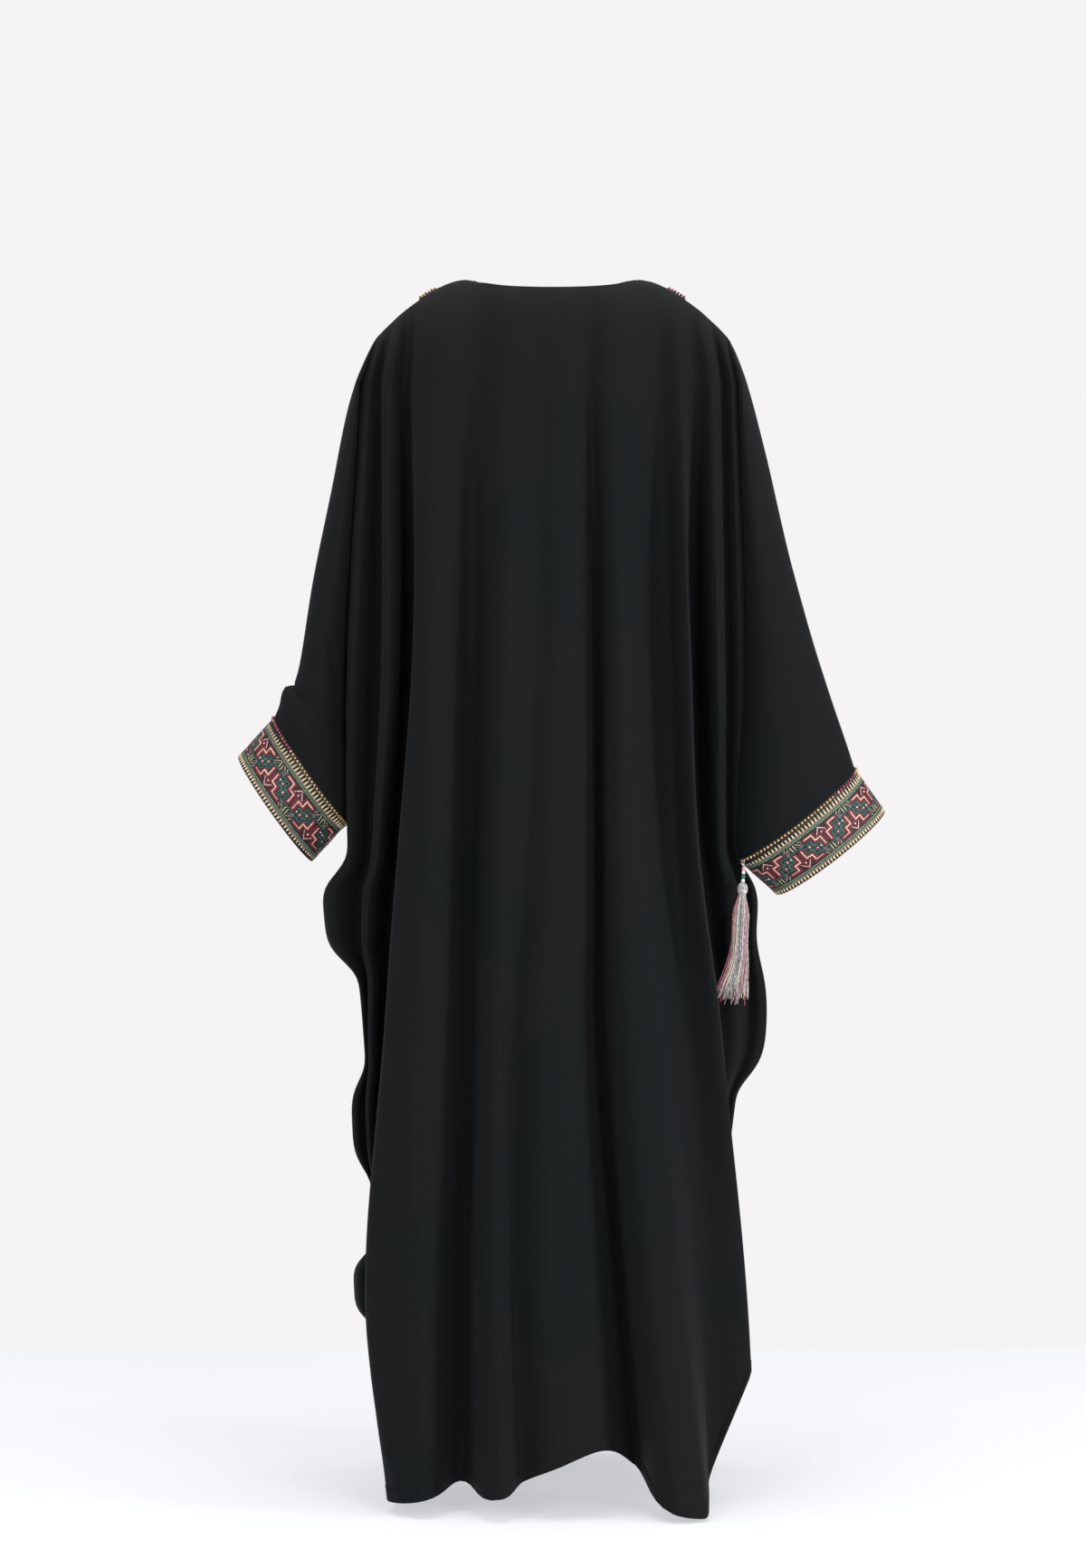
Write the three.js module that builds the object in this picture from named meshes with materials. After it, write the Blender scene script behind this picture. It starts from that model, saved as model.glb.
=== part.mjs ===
// Batwing abaya: a loose black robe whose sleeves are cut in one with the body, worn with the arms lowered.
// X runs across the wearer, Y the way the wearer faces, Z up, in millimetres. The origin is the middle of the
// neck opening, level with the tops of the shoulders.
import * as THREE from "three";

// Driving sizes.
const CLOTH = 1.2; // wall of the crepe
const TRIM = 1.2; // wall of the embroidered bands
const SEAM_GAP = 0.3; // between pieces that are sewn together
const CUFF_WIDTH = 65;
const NECK = { halfWidth: 92, sideDrop: 12, backDepth: 70, backDrop: 16, frontDepth: 72, frontDrop: 93 };
const SHOULDER = { halfWidth: 212, drop: 72, bow: 1.9 };
const SHOULDER_BAND_ROWS = 5; // grid rows that a shoulder band runs down the front

// Grid rows: over the shoulder crest, down to the cuffs, and from there to the hem.
const CREST_ROWS = 3;
const CUFF_ROW = 12;
const HEM_ROW = 26;
const SLEEVE_STEPS = 7; // steps across each half of a sleeve
const FOLD_STEPS = 2; // steps from one fold line to the next
const CUFF_STEPS = 3; // steps along a cuff band
const CREST_REACH = 0.11; // share of the arm's length that the crest rows cover

// The heights at which the fold tables below give their numbers.
const ACROSS_LEVELS = [-140, -475, -690, -900, -1200, -1430]; // yoke, elbow, cuff, hip, knee, hem
const DEPTH_LEVELS = [-140, -475, -900, -1430]; // yoke, elbow, hip, hem
const CUFF_LEVEL = -680;

// Each sleeve: the line over the arm from the shoulder to the cuff (out, forward, up), where the sleeve's
// inner crease meets the cuff, the way the forearm points, how far the cuff bellies from its middle, and the
// share of its size that the cuff draws in by the hand, towards the top of the wrist.
const SLEEVES = {
  left: {
    side: -1,
    overArm: [
      [212, 0, -84],
      [240, -8, -155],
      [262, -18, -265],
      [281, -26, -365],
      [297, -30, -466],
      [302, -30, -488],
      [304, -30, -497],
      [309, -30, -496],
      [315, -30, -497],
      [319, -29, -504],
      [322, -26, -518],
      [328, -22, -532],
    ],
    innerEnd: -655,
    forearm: [0.66, 0.05, -0.725],
    belly: 50,
    taper: 0,
  },
  right: {
    side: 1,
    overArm: [
      [212, 0, -84],
      [231, -8, -137],
      [253, -16, -220],
      [283, -26, -355],
      [322, -30, -490],
      [357, -22, -592],
    ],
    innerEnd: -700,
    forearm: [0.573, 0.208, -0.792],
    belly: 44,
    taper: 0.08,
  },
};
const ARM_BELLY = 30; // how far a sleeve stands out from its creases round the upper arm

// Soft lobes of the wings below the cuffs: the height of each, how far it stands out (or is hollowed, where
// that is below nought), its half height and how suddenly it ends.
const WING_LOBES = [
  { side: -1, at: -770, reach: 35, half: 56, power: 4 },
  { side: -1, at: -1016, reach: 20, half: 55, power: 4 },
  { side: -1, at: -1211, reach: 26, half: 42, power: 4 },
  { side: 1, at: -836, reach: 29, half: 125, power: 8 },
  { side: 1, at: -797, reach: -8, half: 42, power: 2 },
];

// One row for each fold line, from the left side to the right: how far across its top stands, how far across
// it runs at the six levels, how deep it stands at the four levels, where it ends at the hem, how round it is
// (0 is a sharp crease) and how much it follows the wing's lobes.
const BACK_FOLDS = [
  // name, top, across, depth, hem, round, sway
  ["left_seam", -206, [-228, -243, -240, -222, -210, -198], [-50, -46, -36, 0], -1395, 0.6, 1],
  ["arm_ridge", -200, [-216, -234, -236, -221, -207, -195], [-62, -80, -62, -25], -1392, 0.8, 0.8],
  ["arm_furrow", -191, [-205, -209, -217, -216, -205, -192], [-50, -46, -44, -40], -1392, 0.8, 0.3],
  ["side_ridge", -180, [-192, -190, -203, -211, -204, -190], [-76, -100, -84, -78], -1396, 0.9, 0.25],
  ["side_furrow", -168, [-175, -171, -182, -196, -203, -184], [-54, -46, -50, -104], -1410, 0.8, 0.1],
  ["left_edge", -150, [-157, -161, -177, -192, -212, -187], [-90, -132, -172, -215], -1431, 0.5, 0],
  ["left_flank", -118, [-129, -129, -134, -139, -144, -145], [-104, -148, -196, -256], -1424, 1, 0],
  ["left_furrow", -86, [-93, -95, -97, -98, -103, -106], [-98, -102, -140, -205], -1410, 0.6, 0],
  ["left_swell", -54, [-54, -57, -60, -64, -66, -58], [-112, -150, -204, -285], -1418, 1, 0],
  ["middle_furrow", -22, [-15, -20, -30, -46, -44, -34], [-110, -140, -186, -254], -1404, 0.7, 0],
  ["middle_swell", 6, [8, 6, 0, -10, -8, 6], [-112, -148, -200, -276], -1386, 1, 0],
  ["right_slope", 28, [30, 34, 35, 34, 48, 62], [-108, -140, -188, -258], -1368, 1, 0],
  ["right_furrow", 50, [44, 52, 54, 54, 78, 98], [-98, -99, -138, -200], -1393, 0.6, 0],
  ["right_swell", 73, [66, 75, 77, 83, 111, 136], [-108, -148, -202, -284], -1434, 1, 0],
  ["long_crease", 97, [88, 93, 98, 119, 146, 172], [-104, -144, -200, -272], -1441, 0.4, 0],
  ["edge_furrow", 122, [126, 138, 143, 155, 174, 180], [-80, -92, -146, -176], -1412, 0.7, 0],
  ["right_edge", 146, [150, 158, 167, 194, 224, 234], [-90, -134, -160, -140], -1292, 0.4, 0],
  ["deep_furrow", 162, [171, 169, 175, 192, 197, 194], [-66, -32, -58, -36], -1300, 0.8, 0.1],
  ["arm_swell", 176, [189, 194, 198, 206, 196, 190], [-76, -78, -58, -28], -1302, 0.9, 0.35],
  ["arm_crease", 188, [203, 209, 208, 213, 194, 187], [-52, -44, -38, -14], -1303, 0.7, 0.6],
  ["sleeve_ridge", 197, [212, 221, 216, 221, 193, 185], [-66, -64, -42, -5], -1304, 0.8, 0.8],
  ["right_seam", 206, [220, 228, 215, 224, 192, 184], [-54, -52, -38, 5], -1305, 0.6, 1],
];
const FRONT_FOLDS = [
  ["left_seam", -206, [-220, -228, -240, -222, -210, -198], [26, 26, -36, 0], -1395, 0.6, 1],
  ["left_arm_swell", -197, [-212, -218, -216, -212, -198, -190], [36, 46, 4, 34], -1396, 0.9, 0.7],
  ["left_deep_furrow", -180, [-194, -191, -196, -202, -192, -180], [18, 18, 0, 22], -1398, 0.8, 0.3],
  ["left_front_edge", -158, [-160, -160, -170, -182, -194, -190], [52, 88, 112, 150], -1404, 0.5, 0],
  ["left_front_furrow", -98, [-98, -100, -106, -112, -122, -128], [66, 112, 138, 184], -1398, 1, 0],
  ["left_front_swell", -62, [-62, -64, -68, -72, -80, -84], [74, 128, 162, 228], -1410, 1, 0],
  ["left_front_slope", -30, [-30, -30, -34, -36, -40, -44], [73, 125, 152, 205], -1396, 1, 0],
  ["front_swell", 2, [0, 2, 4, 4, 6, 8], [76, 134, 170, 240], -1402, 1, 0],
  ["right_front_slope", 34, [32, 36, 38, 40, 48, 52], [73, 126, 152, 208], -1392, 1, 0],
  ["right_front_swell", 66, [64, 68, 74, 78, 86, 92], [74, 128, 160, 230], -1404, 1, 0],
  ["right_front_furrow", 98, [98, 104, 112, 118, 130, 138], [66, 112, 136, 184], -1390, 1, 0],
  ["right_front_edge", 158, [160, 164, 174, 184, 200, 206], [52, 90, 110, 140], -1372, 0.5, 0],
  ["right_deep_furrow", 180, [192, 191, 198, 204, 194, 184], [18, 16, -4, 20], -1330, 0.8, 0.3],
  ["right_arm_swell", 197, [210, 212, 211, 214, 194, 186], [34, 42, 0, 20], -1312, 0.9, 0.7],
  ["right_seam", 206, [218, 224, 215, 224, 192, 184], [26, 26, -38, 5], -1305, 0.6, 1],
];

// The tassel under the right cuff: its cord, the beads on the cord from the top down, the head and the skirt.
const TASSEL = {
  turn: -0.1 * Math.PI, // round the cuff from its inner end
  along: 2, // from the cuff's sewn edge
  standOff: 2.2,
  foot: [214, -134, -860],
  cord: 1.6,
  cordSides: 8,
  cordSteps: 36,
  bore: 1.4,
  beads: [
    ["rose", 4.4],
    ["pearl", 4.4],
    ["green", 5.6],
    ["pearl_low", 4.4],
  ],
  firstBead: 10,
  headTop: 31,
  headHeight: 14.5,
  headRadius: 6.2,
  skirtNeck: 4.4,
  skirtBody: 11,
  skirtRadius: 20,
  cordEnd: 6, // how far above the skirt's foot the cord ends
  beadSides: 10,
  sides: 16,
};
// Turned outlines below the bore, from the top down: shares of the piece's radius and of its height.
const BEAD_OUTLINE = [
  [0.84, 0],
  [1, 0.3],
  [1, 0.7],
  [0.84, 1],
];
const HEAD_OUTLINE = [
  [0.45, 0],
  [0.85, 0.15],
  [1, 0.5],
  [0.8, 0.85],
  [0.71, 1],
];

const CLOTH_BLACK = new THREE.MeshStandardMaterial({ color: 0x1c1d20, roughness: 0.85, metalness: 0 });
const TRIM_BURGUNDY = new THREE.MeshStandardMaterial({ color: 0x6a2530, roughness: 0.7, metalness: 0 });
const TASSEL_SILK = new THREE.MeshStandardMaterial({ color: 0xa9a3a4, roughness: 0.45, metalness: 0 });
const BEAD_GLASS = new THREE.MeshStandardMaterial({ color: 0xc9787f, roughness: 0.2, metalness: 0 });

const vec = (x, y, z) => new THREE.Vector3(x, y, z);

// A smooth curve through values given at falling heights, read at one height.
function atHeight(levels, values, height) {
  const last = levels.length - 1;
  let i = 0;
  while (i < last - 1 && height < levels[i + 1]) i += 1;
  const slope = (k) => {
    const a = Math.max(k - 1, 0);
    const b = Math.min(k + 1, last);
    return (values[b] - values[a]) / (levels[b] - levels[a]);
  };
  const span = levels[i + 1] - levels[i];
  const t = THREE.MathUtils.clamp((height - levels[i]) / span, 0, 1);
  const rise = values[i + 1] - values[i];
  const start = slope(i) * span;
  const end = slope(i + 1) * span;
  return values[i] + t * (start + t * (3 * rise - 2 * start - end + t * (start + end - 2 * rise)));
}

// The top edge of a panel: the neck curve in the middle, the shoulder line outside it.
function topEdge(across, facing) {
  const out = Math.abs(across);
  if (out >= NECK.halfWidth) {
    const t = (out - NECK.halfWidth) / (SHOULDER.halfWidth - NECK.halfWidth);
    return vec(across, 0, -NECK.sideDrop - SHOULDER.drop * Math.pow(t, SHOULDER.bow));
  }
  const round = Math.sqrt(1 - (across / NECK.halfWidth) ** 2);
  const front = facing > 0;
  const depth = front ? NECK.frontDepth : -NECK.backDepth;
  const drop = front ? NECK.frontDrop * Math.pow(round, 1.5) : NECK.backDrop * round;
  return vec(across, depth * round, -NECK.sideDrop - drop);
}

// How far the wing's edge stands out at a height.
function wingReach(side, height) {
  let reach = 0;
  for (const lobe of WING_LOBES) {
    if (lobe.side !== side) continue;
    reach += lobe.reach * Math.exp(-Math.pow(Math.abs(height - lobe.at) / lobe.half, lobe.power));
  }
  return reach * side;
}

function foldRow([name, top, across, depth, hem, round, sway]) {
  return { name, top, across, depth, hem, round, sway, side: Math.sign(top) };
}
const back = BACK_FOLDS.map(foldRow);
const front = FRONT_FOLDS.map(foldRow);
const SEAM_FOLDS = { [-1]: back[0], [1]: back[back.length - 1] };

// The point of a fold line at a height, from the yoke down.
function foldPoint(fold, height) {
  const across = atHeight(ACROSS_LEVELS, fold.across, height);
  const depth = atHeight(DEPTH_LEVELS, fold.depth, height);
  return vec(across + fold.sway * wingReach(fold.side, height), depth, height);
}

// The height at which a fold line meets the cuff row: the seams meet the cuff's inner end, the rest are
// level with one another.
function cuffHeight(fold) {
  const sleeve = fold.side < 0 ? SLEEVES.left : SLEEVES.right;
  return CUFF_LEVEL + fold.sway * (sleeve.innerEnd - CUFF_LEVEL);
}

function innerEnd(sleeve) {
  return foldPoint(SEAM_FOLDS[sleeve.side], sleeve.innerEnd);
}

// The point of a fold line in a grid row.
function foldAtRow(fold, row, facing) {
  const isSeam = fold.sway === 1;
  if (row <= CREST_ROWS) {
    const top = topEdge(fold.top, facing);
    const yoke = foldPoint(fold, ACROSS_LEVELS[0]);
    const turn = (row / CREST_ROWS) * (Math.PI / 2);
    const fall = 1 - Math.cos(turn);
    return vec(
      top.x + (yoke.x - top.x) * fall,
      top.y + (yoke.y - top.y) * Math.sin(turn),
      top.z + (yoke.z - top.z) * fall,
    );
  }
  if (row < CUFF_ROW) {
    const t = (row - CREST_ROWS) / (CUFF_ROW - CREST_ROWS);
    return foldPoint(fold, ACROSS_LEVELS[0] + (cuffHeight(fold) - ACROSS_LEVELS[0]) * t);
  }
  const t = (row - CUFF_ROW) / (HEM_ROW - CUFF_ROW);
  const height = cuffHeight(fold) + (fold.hem - cuffHeight(fold)) * t;
  return foldPoint(isSeam ? SEAM_FOLDS[fold.side] : fold, height);
}

// The cuff's ring: its middle, the half chord from the inner end to the top of the wrist, its belly and the
// way the forearm points.
function cuffRing(sleeve) {
  const inner = innerEnd(sleeve);
  const [out, forward, up] = sleeve.overArm[sleeve.overArm.length - 1];
  const wrist = vec(out * sleeve.side, forward, up);
  const chord = wrist.clone().sub(inner).multiplyScalar(0.5);
  const [x, y, z] = sleeve.forearm;
  const forearm = vec(x * sleeve.side, y, z).normalize();
  const belly = new THREE.Vector3().crossVectors(forearm, chord).normalize();
  if (belly.y < 0) belly.negate();
  belly.multiplyScalar(sleeve.belly);
  return { middle: inner.clone().add(chord), chord, belly, forearm, taper: sleeve.taper };
}

// The line over the arm, from the tip of the shoulder to the top of the wrist.
function overArmCurve(sleeve) {
  const points = sleeve.overArm.map(([out, forward, up]) => vec(out * sleeve.side, forward, up));
  return new THREE.CatmullRomCurve3(points, false, "centripetal");
}
const OVER_ARM = { left: overArmCurve(SLEEVES.left), right: overArmCurve(SLEEVES.right) };

function armShare(row) {
  if (row <= CREST_ROWS) return (CREST_REACH * row) / CREST_ROWS;
  return CREST_REACH + ((1 - CREST_REACH) * (row - CREST_ROWS)) / (CUFF_ROW - CREST_ROWS);
}

// Half of the sleeve in one row, from its inner crease round to the line over the arm.
function sleeveArc(sleeveName, row, crease, facing) {
  const sleeve = SLEEVES[sleeveName];
  const outer = OVER_ARM[sleeveName].getPointAt(armShare(row));
  const middle = crease.clone().add(outer).multiplyScalar(0.5);
  const half = outer.clone().sub(crease).multiplyScalar(0.5);
  const crest = Math.sin((Math.min(row, CREST_ROWS) / CREST_ROWS) * (Math.PI / 2));
  const belly = vec(0, ARM_BELLY * crest, 0);
  const towardsCuff = THREE.MathUtils.smoothstep(row, CREST_ROWS, CUFF_ROW);
  belly.lerp(cuffRing(sleeve).belly, towardsCuff).multiplyScalar(facing);
  const arc = [];
  for (let i = 0; i <= SLEEVE_STEPS; i += 1) {
    const turn = (Math.PI * i) / SLEEVE_STEPS;
    arc.push(
      middle
        .clone()
        .addScaledVector(half, -Math.cos(turn))
        .addScaledVector(belly, Math.sin(turn)),
    );
  }
  return arc;
}

// One smooth curve through a row's fold points, each turned as roundly as its fold says.
function sectionThrough(points, folds, steps) {
  const chords = points.slice(1).map((point, i) => point.clone().sub(points[i]));
  const directions = points.map((point, i) => {
    const before = chords[Math.max(i - 1, 0)].clone().normalize();
    const after = chords[Math.min(i, chords.length - 1)].clone().normalize();
    return before.add(after).normalize();
  });
  const section = [points[0].clone()];
  chords.forEach((chord, i) => {
    const reach = chord.length();
    const start = directions[i].clone().multiplyScalar(reach * folds[i].round);
    const end = directions[i + 1].clone().multiplyScalar(reach * folds[i + 1].round);
    for (let k = 1; k <= steps; k += 1) {
      const t = k / steps;
      section.push(
        points[i]
          .clone()
          .multiplyScalar(1 - 3 * t * t + 2 * t * t * t)
          .addScaledVector(points[i + 1], 3 * t * t - 2 * t * t * t)
          .addScaledVector(start, t - 2 * t * t + t * t * t)
          .addScaledVector(end, t * t * t - t * t),
      );
    }
  });
  return section;
}

// A panel's middle surface: rows of points, with the sleeves' points only down to the cuff row.
function panelGrid(folds, facing, steps) {
  const rows = [];
  for (let row = 0; row <= HEM_ROW; row += 1) {
    const points = folds.map((fold) => foldAtRow(fold, row, facing));
    let body = sectionThrough(points, folds, steps);
    if (row === 0) body = body.map((point) => topEdge(point.x, facing));
    if (row > CUFF_ROW) {
      rows.push(body);
      continue;
    }
    const left = sleeveArc("left", row, points[0], facing).reverse();
    const right = sleeveArc("right", row, points[points.length - 1], facing);
    rows.push([...left.slice(0, -1), ...body, ...right.slice(1)]);
  }
  return rows;
}

// Numbers a grid's points and lists its triangles, wound so that they face the given way.
function gridMesh(rows, facing, firstColumn) {
  const points = [];
  const index = rows.map((row) => row.map((point) => points.push(point) - 1));
  const faces = [];
  for (let r = 0; r + 1 < rows.length; r += 1) {
    const shift = firstColumn[r + 1] - firstColumn[r];
    for (let c = 0; c + 1 < rows[r + 1].length; c += 1) {
      const a = index[r][c + shift];
      const b = index[r][c + shift + 1];
      const d = index[r + 1][c];
      const e = index[r + 1][c + 1];
      if (facing > 0) faces.push([a, b, e], [a, e, d]);
      else faces.push([a, e, b], [a, d, e]);
    }
  }
  return { points, index, faces };
}

function pointNormals(points, faces) {
  const normals = points.map(() => new THREE.Vector3());
  for (const [a, b, c] of faces) {
    const one = points[b].clone().sub(points[a]);
    const two = points[c].clone().sub(points[a]);
    const normal = one.cross(two);
    for (const i of [a, b, c]) normals[i].add(normal);
  }
  return normals.map((normal) => normal.normalize());
}

// A closed wall between two offsets of a surface.
function wall(points, faces, normals, inner, outer) {
  const count = points.length;
  const positions = [];
  for (const offset of [outer, inner]) {
    points.forEach((point, i) => {
      const moved = point.clone().addScaledVector(normals[i], offset);
      positions.push(moved.x, moved.y, moved.z);
    });
  }
  const triangles = [];
  const edges = new Map();
  for (const [a, b, c] of faces) {
    triangles.push(a, b, c, a + count, c + count, b + count);
    for (const [from, to] of [
      [a, b],
      [b, c],
      [c, a],
    ])
      edges.set(from + ":" + to, [from, to]);
  }
  for (const [from, to] of edges.values()) {
    if (edges.has(to + ":" + from)) continue;
    triangles.push(to, from, from + count, to, from + count, to + count);
  }
  const geometry = new THREE.BufferGeometry();
  geometry.setAttribute("position", new THREE.Float32BufferAttribute(positions, 3));
  geometry.setIndex(triangles);
  geometry.computeVertexNormals();
  return geometry;
}

const abaya = new THREE.Group();

function addPiece(name, geometry, material) {
  const mesh = new THREE.Mesh(geometry, material);
  mesh.name = name;
  abaya.add(mesh);
  return mesh;
}

// The two panels, sewn together along the shoulders and arms and from the cuffs to the hem.
function buildPanel(folds, facing) {
  const rows = panelGrid(folds, facing, FOLD_STEPS);
  const firstColumn = rows.map((row, r) => (r <= CUFF_ROW ? 0 : SLEEVE_STEPS));
  const mesh = gridMesh(rows, facing, firstColumn);
  return { ...mesh, rows, firstColumn, facing, normals: pointNormals(mesh.points, mesh.faces) };
}

// The seam's points in a panel, in the same order for both panels.
function seamIndices(panel) {
  const seam = [];
  panel.index.forEach((row, r) => {
    const last = row.length - 1;
    if (r === CUFF_ROW) seam.push(row[SLEEVE_STEPS], row[last - SLEEVE_STEPS]);
    seam.push(row[0], row[last]);
  });
  return seam;
}

function shoulderIndices(panel) {
  const seam = [];
  panel.index[0].forEach((i) => {
    const { x } = panel.points[i];
    if (Math.abs(x) >= NECK.halfWidth) seam.push(i);
  });
  return seam;
}

const backPanel = buildPanel(back, -1);
const frontPanel = buildPanel(front, 1);

// A point of the cuff, a turn round from its inner end and a way along the forearm.
function ringPoint(ring, turn, along) {
  const drawnIn = (ring.taper * along) / CUFF_WIDTH;
  return ring.middle
    .clone()
    .addScaledVector(ring.chord, drawnIn - Math.cos(turn) * (1 - drawnIn))
    .addScaledVector(ring.belly, Math.sin(turn) * (1 - drawnIn))
    .addScaledVector(ring.forearm, along);
}

// At the cuff's row both panels and the cuff share the cuff's own outward directions.
function ringNormal(ring, turn) {
  const along = ring.chord.clone().multiplyScalar(-Math.cos(turn) / ring.chord.lengthSq());
  const round = ring.belly.clone().multiplyScalar(Math.sin(turn) / ring.belly.lengthSq());
  return along.add(round).normalize();
}
function squareToCuff(panel) {
  const row = panel.index[CUFF_ROW];
  const last = row.length - 1;
  for (let i = 0; i <= SLEEVE_STEPS; i += 1) {
    const turn = (Math.PI * i) / SLEEVE_STEPS;
    const left = ringNormal(cuffRing(SLEEVES.left), turn * panel.facing);
    const right = ringNormal(cuffRing(SLEEVES.right), turn * panel.facing);
    panel.normals[row[SLEEVE_STEPS - i]].copy(left);
    panel.normals[row[last - SLEEVE_STEPS + i]].copy(right);
  }
}
squareToCuff(backPanel);
squareToCuff(frontPanel);

// Along a seam both panels take one direction, square to the way they part, and part by half the gap each.
const frontSeam = seamIndices(frontPanel);
const seams = seamIndices(backPanel).map((i, k) => [i, frontSeam[k]]);
for (const [i, k] of seams) {
  const shared = backPanel.normals[i].clone().add(frontPanel.normals[k]).setY(0).normalize();
  backPanel.normals[i].copy(shared);
  frontPanel.normals[k].copy(shared);
  backPanel.points[i].y -= SEAM_GAP / 2;
  frontPanel.points[k].y += SEAM_GAP / 2;
}
for (const panel of [backPanel, frontPanel]) {
  for (const i of shoulderIndices(panel)) {
    if (seams.some((pair) => pair.includes(i) && pair[panel === backPanel ? 0 : 1] === i)) continue;
    panel.normals[i].setY(0).normalize();
    panel.points[i].y += (panel.facing * SEAM_GAP) / 2;
  }
}
for (const [name, panel] of Object.entries({ back_panel: backPanel, front_panel: frontPanel })) {
  addPiece(name, wall(panel.points, panel.faces, panel.normals, -CLOTH / 2, CLOTH / 2), CLOTH_BLACK);
}

// The embroidered cuffs: rings that go on from the sleeves' ends the way the forearms point.
function buildCuff(name, sleeve) {
  const ring = cuffRing(sleeve);
  const around = 2 * SLEEVE_STEPS;
  const points = [];
  const normals = [];
  const faces = [];
  for (let r = 0; r <= CUFF_STEPS; r += 1) {
    const along = SEAM_GAP + ((CUFF_WIDTH - SEAM_GAP) * r) / CUFF_STEPS;
    for (let i = 0; i < around; i += 1) {
      const turn = (2 * Math.PI * i) / around;
      points.push(ringPoint(ring, turn, along));
      normals.push(ringNormal(ring, turn));
      if (r === CUFF_STEPS) continue;
      const a = r * around + i;
      const b = r * around + ((i + 1) % around);
      if (sleeve.side > 0) faces.push([a, b, b + around], [a, b + around, a + around]);
      else faces.push([a, b + around, b], [a, a + around, b + around]);
    }
  }
  addPiece(name, wall(points, faces, normals, -TRIM / 2, TRIM / 2), TRIM_BURGUNDY);
}
buildCuff("cuff_band_left", SLEEVES.left);
buildCuff("cuff_band_right", SLEEVES.right);

// The shoulder bands lie on the front panel's own points, from the shoulder seam down.
function buildShoulderBand(name, fromFold, toFold) {
  const columnOf = (foldName) => {
    const place = front.findIndex((fold) => fold.name === foldName);
    return SLEEVE_STEPS + FOLD_STEPS * place;
  };
  const from = columnOf(fromFold);
  const to = columnOf(toFold);
  const kept = frontPanel.index.slice(0, SHOULDER_BAND_ROWS + 1).map((row) => row.slice(from, to + 1));
  const rows = kept.map((row) => row.map((i) => frontPanel.points[i]));
  const normals = kept.flat().map((i) => frontPanel.normals[i]);
  const { points, faces } = gridMesh(rows, 1, rows.map(() => 0));
  const lift = CLOTH / 2 + SEAM_GAP;
  addPiece(name, wall(points, faces, normals, lift, lift + TRIM), TRIM_BURGUNDY);
}
buildShoulderBand("shoulder_band_left", "left_front_edge", "left_front_furrow");
buildShoulderBand("shoulder_band_right", "right_front_furrow", "right_front_edge");

// The tassel: every piece is turned round the cord's line, with a bore that the cord runs through.
function buildTassel() {
  const ring = cuffRing(SLEEVES.right);
  const top = ringPoint(ring, TASSEL.turn, TASSEL.along);
  top.addScaledVector(ringNormal(ring, TASSEL.turn), TASSEL.standOff);
  const line = vec(...TASSEL.foot).sub(top);
  const length = line.length();
  const downwards = line.clone().normalize();
  const turned = new THREE.Quaternion().setFromUnitVectors(vec(0, -1, 0), downwards);
  const addTurned = (name, profile, start, segments, material) => {
    const outline = profile.map(([radius, down]) => new THREE.Vector2(radius, -down));
    outline.push(outline[0].clone());
    const mesh = addPiece(name, new THREE.LatheGeometry(outline, segments), material);
    mesh.quaternion.copy(turned);
    mesh.position.copy(top).addScaledVector(downwards, start);
  };
  const turnedProfile = (outline, radius, height) => {
    const outside = outline.map(([out, down]) => [out * radius, down * height]);
    return [[TASSEL.bore, 0], [TASSEL.bore, height], ...outside.reverse()];
  };
  let start = TASSEL.firstBead;
  for (const [colour, size] of TASSEL.beads) {
    const profile = turnedProfile(BEAD_OUTLINE, size / 2, size);
    addTurned("tassel_bead_" + colour, profile, start, TASSEL.beadSides, BEAD_GLASS);
    start += size + SEAM_GAP;
  }
  const head = turnedProfile(HEAD_OUTLINE, TASSEL.headRadius, TASSEL.headHeight);
  addTurned("tassel_head", head, TASSEL.headTop, TASSEL.sides, TASSEL_SILK);
  const skirtTop = TASSEL.headTop + TASSEL.headHeight + SEAM_GAP;
  const skirtHeight = length - skirtTop;
  const skirtOutline = [
    [TASSEL.skirtNeck, 0],
    [TASSEL.skirtBody, 0.22],
    [TASSEL.skirtBody, 0.55],
    [TASSEL.skirtRadius, 1],
  ];
  const skirt = turnedProfile(skirtOutline, 1, skirtHeight);
  addTurned("tassel_skirt", skirt, skirtTop, TASSEL.sides, TASSEL_SILK);
  const cordFoot = top.clone().addScaledVector(downwards, length - TASSEL.cordEnd);
  const route = new THREE.LineCurve3(top, cordFoot);
  const corners = [];
  for (let i = 0; i < TASSEL.cordSides; i += 1) {
    const turn = (2 * Math.PI * i) / TASSEL.cordSides;
    corners.push(new THREE.Vector2(Math.cos(turn), Math.sin(turn)).multiplyScalar(TASSEL.cord / 2));
  }
  const cord = new THREE.ExtrudeGeometry(new THREE.Shape(corners), {
    extrudePath: route,
    steps: TASSEL.cordSteps,
    bevelEnabled: false,
  });
  addPiece("tassel_cord", cord, TASSEL_SILK);
}
buildTassel();

export default abaya;
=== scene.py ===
"""Batwing abaya: a loose black crepe robe, its sleeves cut in one with the body, worn with the arms lowered.

X runs across the wearer, Y the way the wearer faces, Z up. The tables are in millimetres and every mesh is
made in metres. The origin is the middle of the neck opening, level with the tops of the shoulders.
"""

import math
import random

import bpy
import numpy as np
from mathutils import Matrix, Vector, noise


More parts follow.
